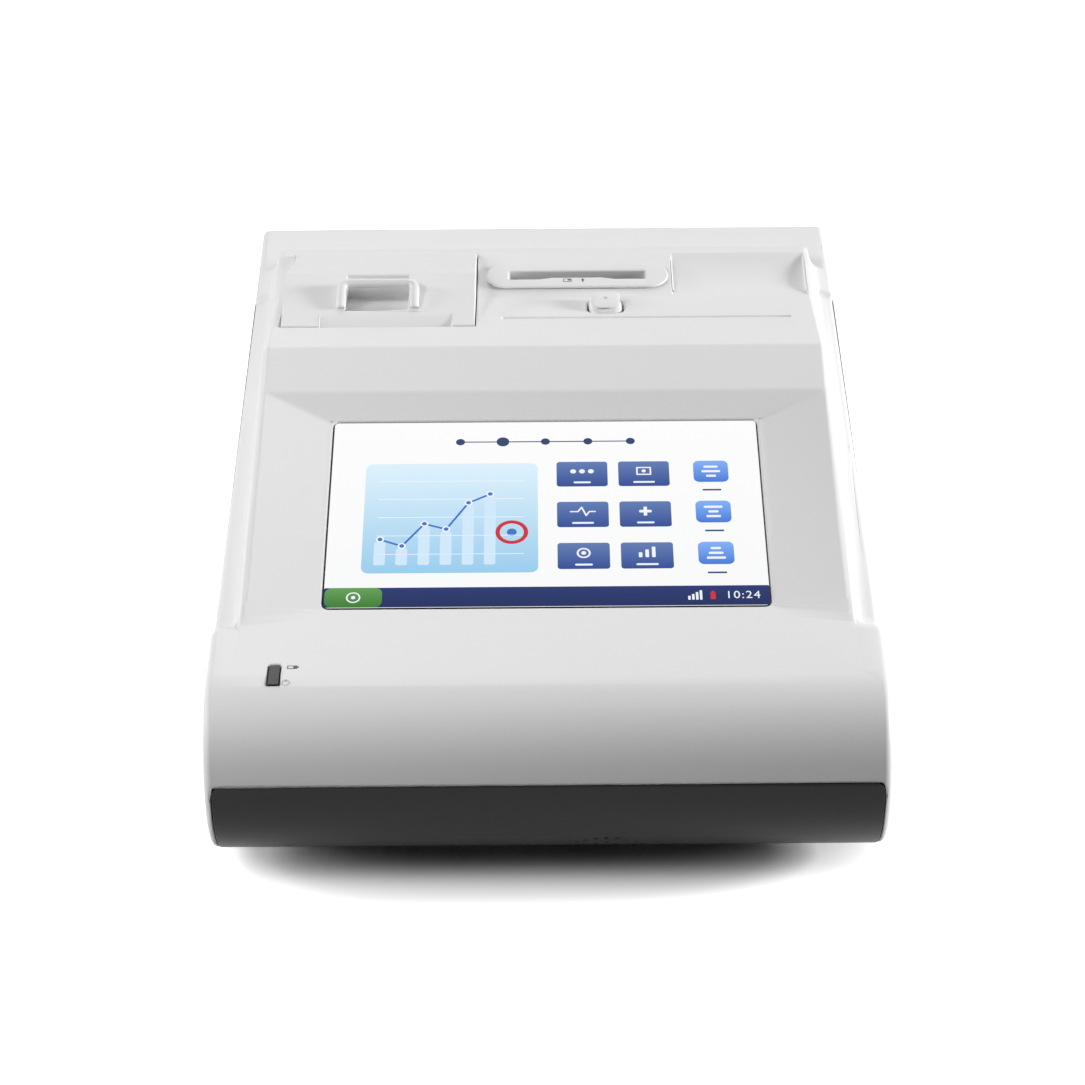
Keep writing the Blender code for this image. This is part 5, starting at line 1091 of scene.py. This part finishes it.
class ANALYZER_OT_finishes(bpy.types.Operator):
    """Makes the materials"""
    bl_idname = "analyzer.finishes"
    bl_label = "Make finishes"

    def execute(self, context):
        make_finishes(context.scene.analyzer_colours)
        return {"FINISHED"}


class ANALYZER_OT_case(bpy.types.Operator):
    """Finishes the white mouldings and the bumper"""
    bl_idname = "analyzer.case"
    bl_label = "Finish case"

    def execute(self, context):
        sizes = context.scene.analyzer_sizes
        for node in WHITE_NODES:
            refine(node, "cover_white", sizes.edge_round * EDGE_SHARES.get(node, 1.0), WHITE_SEGMENTS,
                   **OWN_WAYS.get(node, {}))
        lean_cap(bpy.data.objects["release_button_finished"])
        refine("front_bumper", "bumper_dark", sizes.small_round * 2)
        return {"FINISHED"}


class ANALYZER_OT_screen(bpy.types.Operator):
    """Makes the lit touch screen and its picture"""
    bl_idname = "analyzer.screen"
    bl_label = "Make screen"

    def execute(self, context):
        make_screen_picture()
        return {"FINISHED"}


class ANALYZER_OT_signs(bpy.types.Operator):
    """Prints the small signs on the case"""
    bl_idname = "analyzer.signs"
    bl_label = "Print signs"

    def execute(self, context):
        make_case_signs()
        return {"FINISHED"}


class ANALYZER_OT_sockets(bpy.types.Operator):
    """Makes the contacts in the rear sockets and the marks on the rocker"""
    bl_idname = "analyzer.sockets"
    bl_label = "Make socket contacts"

    def execute(self, context):
        make_contacts()
        make_rocker_marks()
        return {"FINISHED"}


class ANALYZER_OT_fittings(bpy.types.Operator):
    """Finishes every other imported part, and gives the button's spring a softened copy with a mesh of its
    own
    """
    bl_idname = "analyzer.fittings"
    bl_label = "Finish fittings"

    def execute(self, context):
        edge = context.scene.analyzer_sizes.small_round
        done = set(WHITE_NODES) | {"front_bumper", "touch_glass", "button_spring"}
        for node in sorted(set(frame["nodes"]) - done):
            refine(node, record_slot(node), edge)
        spring = refine("button_spring", "steel", edge, cushion=1)
        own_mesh(spring)
        return {"FINISHED"}


class ANALYZER_OT_stage(bpy.types.Operator):
    """Makes the floor, the lights and the camera"""
    bl_idname = "analyzer.stage"
    bl_label = "Make stage"

    def execute(self, context):
        light = context.scene.analyzer_light
        context.scene.view_settings.view_transform = "Standard"
        make_floor()
        for name, place, size, power in LAMPS:
            add_lamp(name, place, size, getattr(light, power))
        make_world(light.fill)
        make_camera()
        return {"FINISHED"}


STEPS = (ANALYZER_OT_finishes, ANALYZER_OT_case, ANALYZER_OT_screen, ANALYZER_OT_signs, ANALYZER_OT_sockets,
         ANALYZER_OT_fittings, ANALYZER_OT_stage)
GROUPS = {"analyzer_colours": AnalyzerColours, "analyzer_sizes": AnalyzerSizes,
          "analyzer_light": AnalyzerLight}


class ANALYZER_PT_panel(bpy.types.Panel):
    """The analyzer's settings and steps"""
    bl_idname = "ANALYZER_PT_panel"
    bl_label = "Blood gas analyzer"
    bl_space_type = "VIEW_3D"
    bl_region_type = "UI"
    bl_category = "Analyzer"

    def draw(self, context):
        for name, group in GROUPS.items():
            for setting in group.__annotations__:
                self.layout.prop(getattr(context.scene, name), setting)
        for step in STEPS:
            self.layout.operator(step.bl_idname)


def register():
    for name, group in GROUPS.items():
        bpy.utils.register_class(group)
        setattr(bpy.types.Scene, name, bpy.props.PointerProperty(type=group))
    for step in (*STEPS, ANALYZER_PT_panel):
        bpy.utils.register_class(step)


def unregister():
    for step in reversed((*STEPS, ANALYZER_PT_panel)):
        bpy.utils.unregister_class(step)
    for name, group in GROUPS.items():
        delattr(bpy.types.Scene, name)
        bpy.utils.unregister_class(group)


def main():
    register()
    bpy.ops.analyzer.finishes()
    bpy.ops.analyzer.case()
    bpy.ops.analyzer.screen()
    bpy.ops.analyzer.signs()
    bpy.ops.analyzer.sockets()
    bpy.ops.analyzer.fittings()
    bpy.ops.analyzer.stage()


if __name__ == "__main__":
    main()
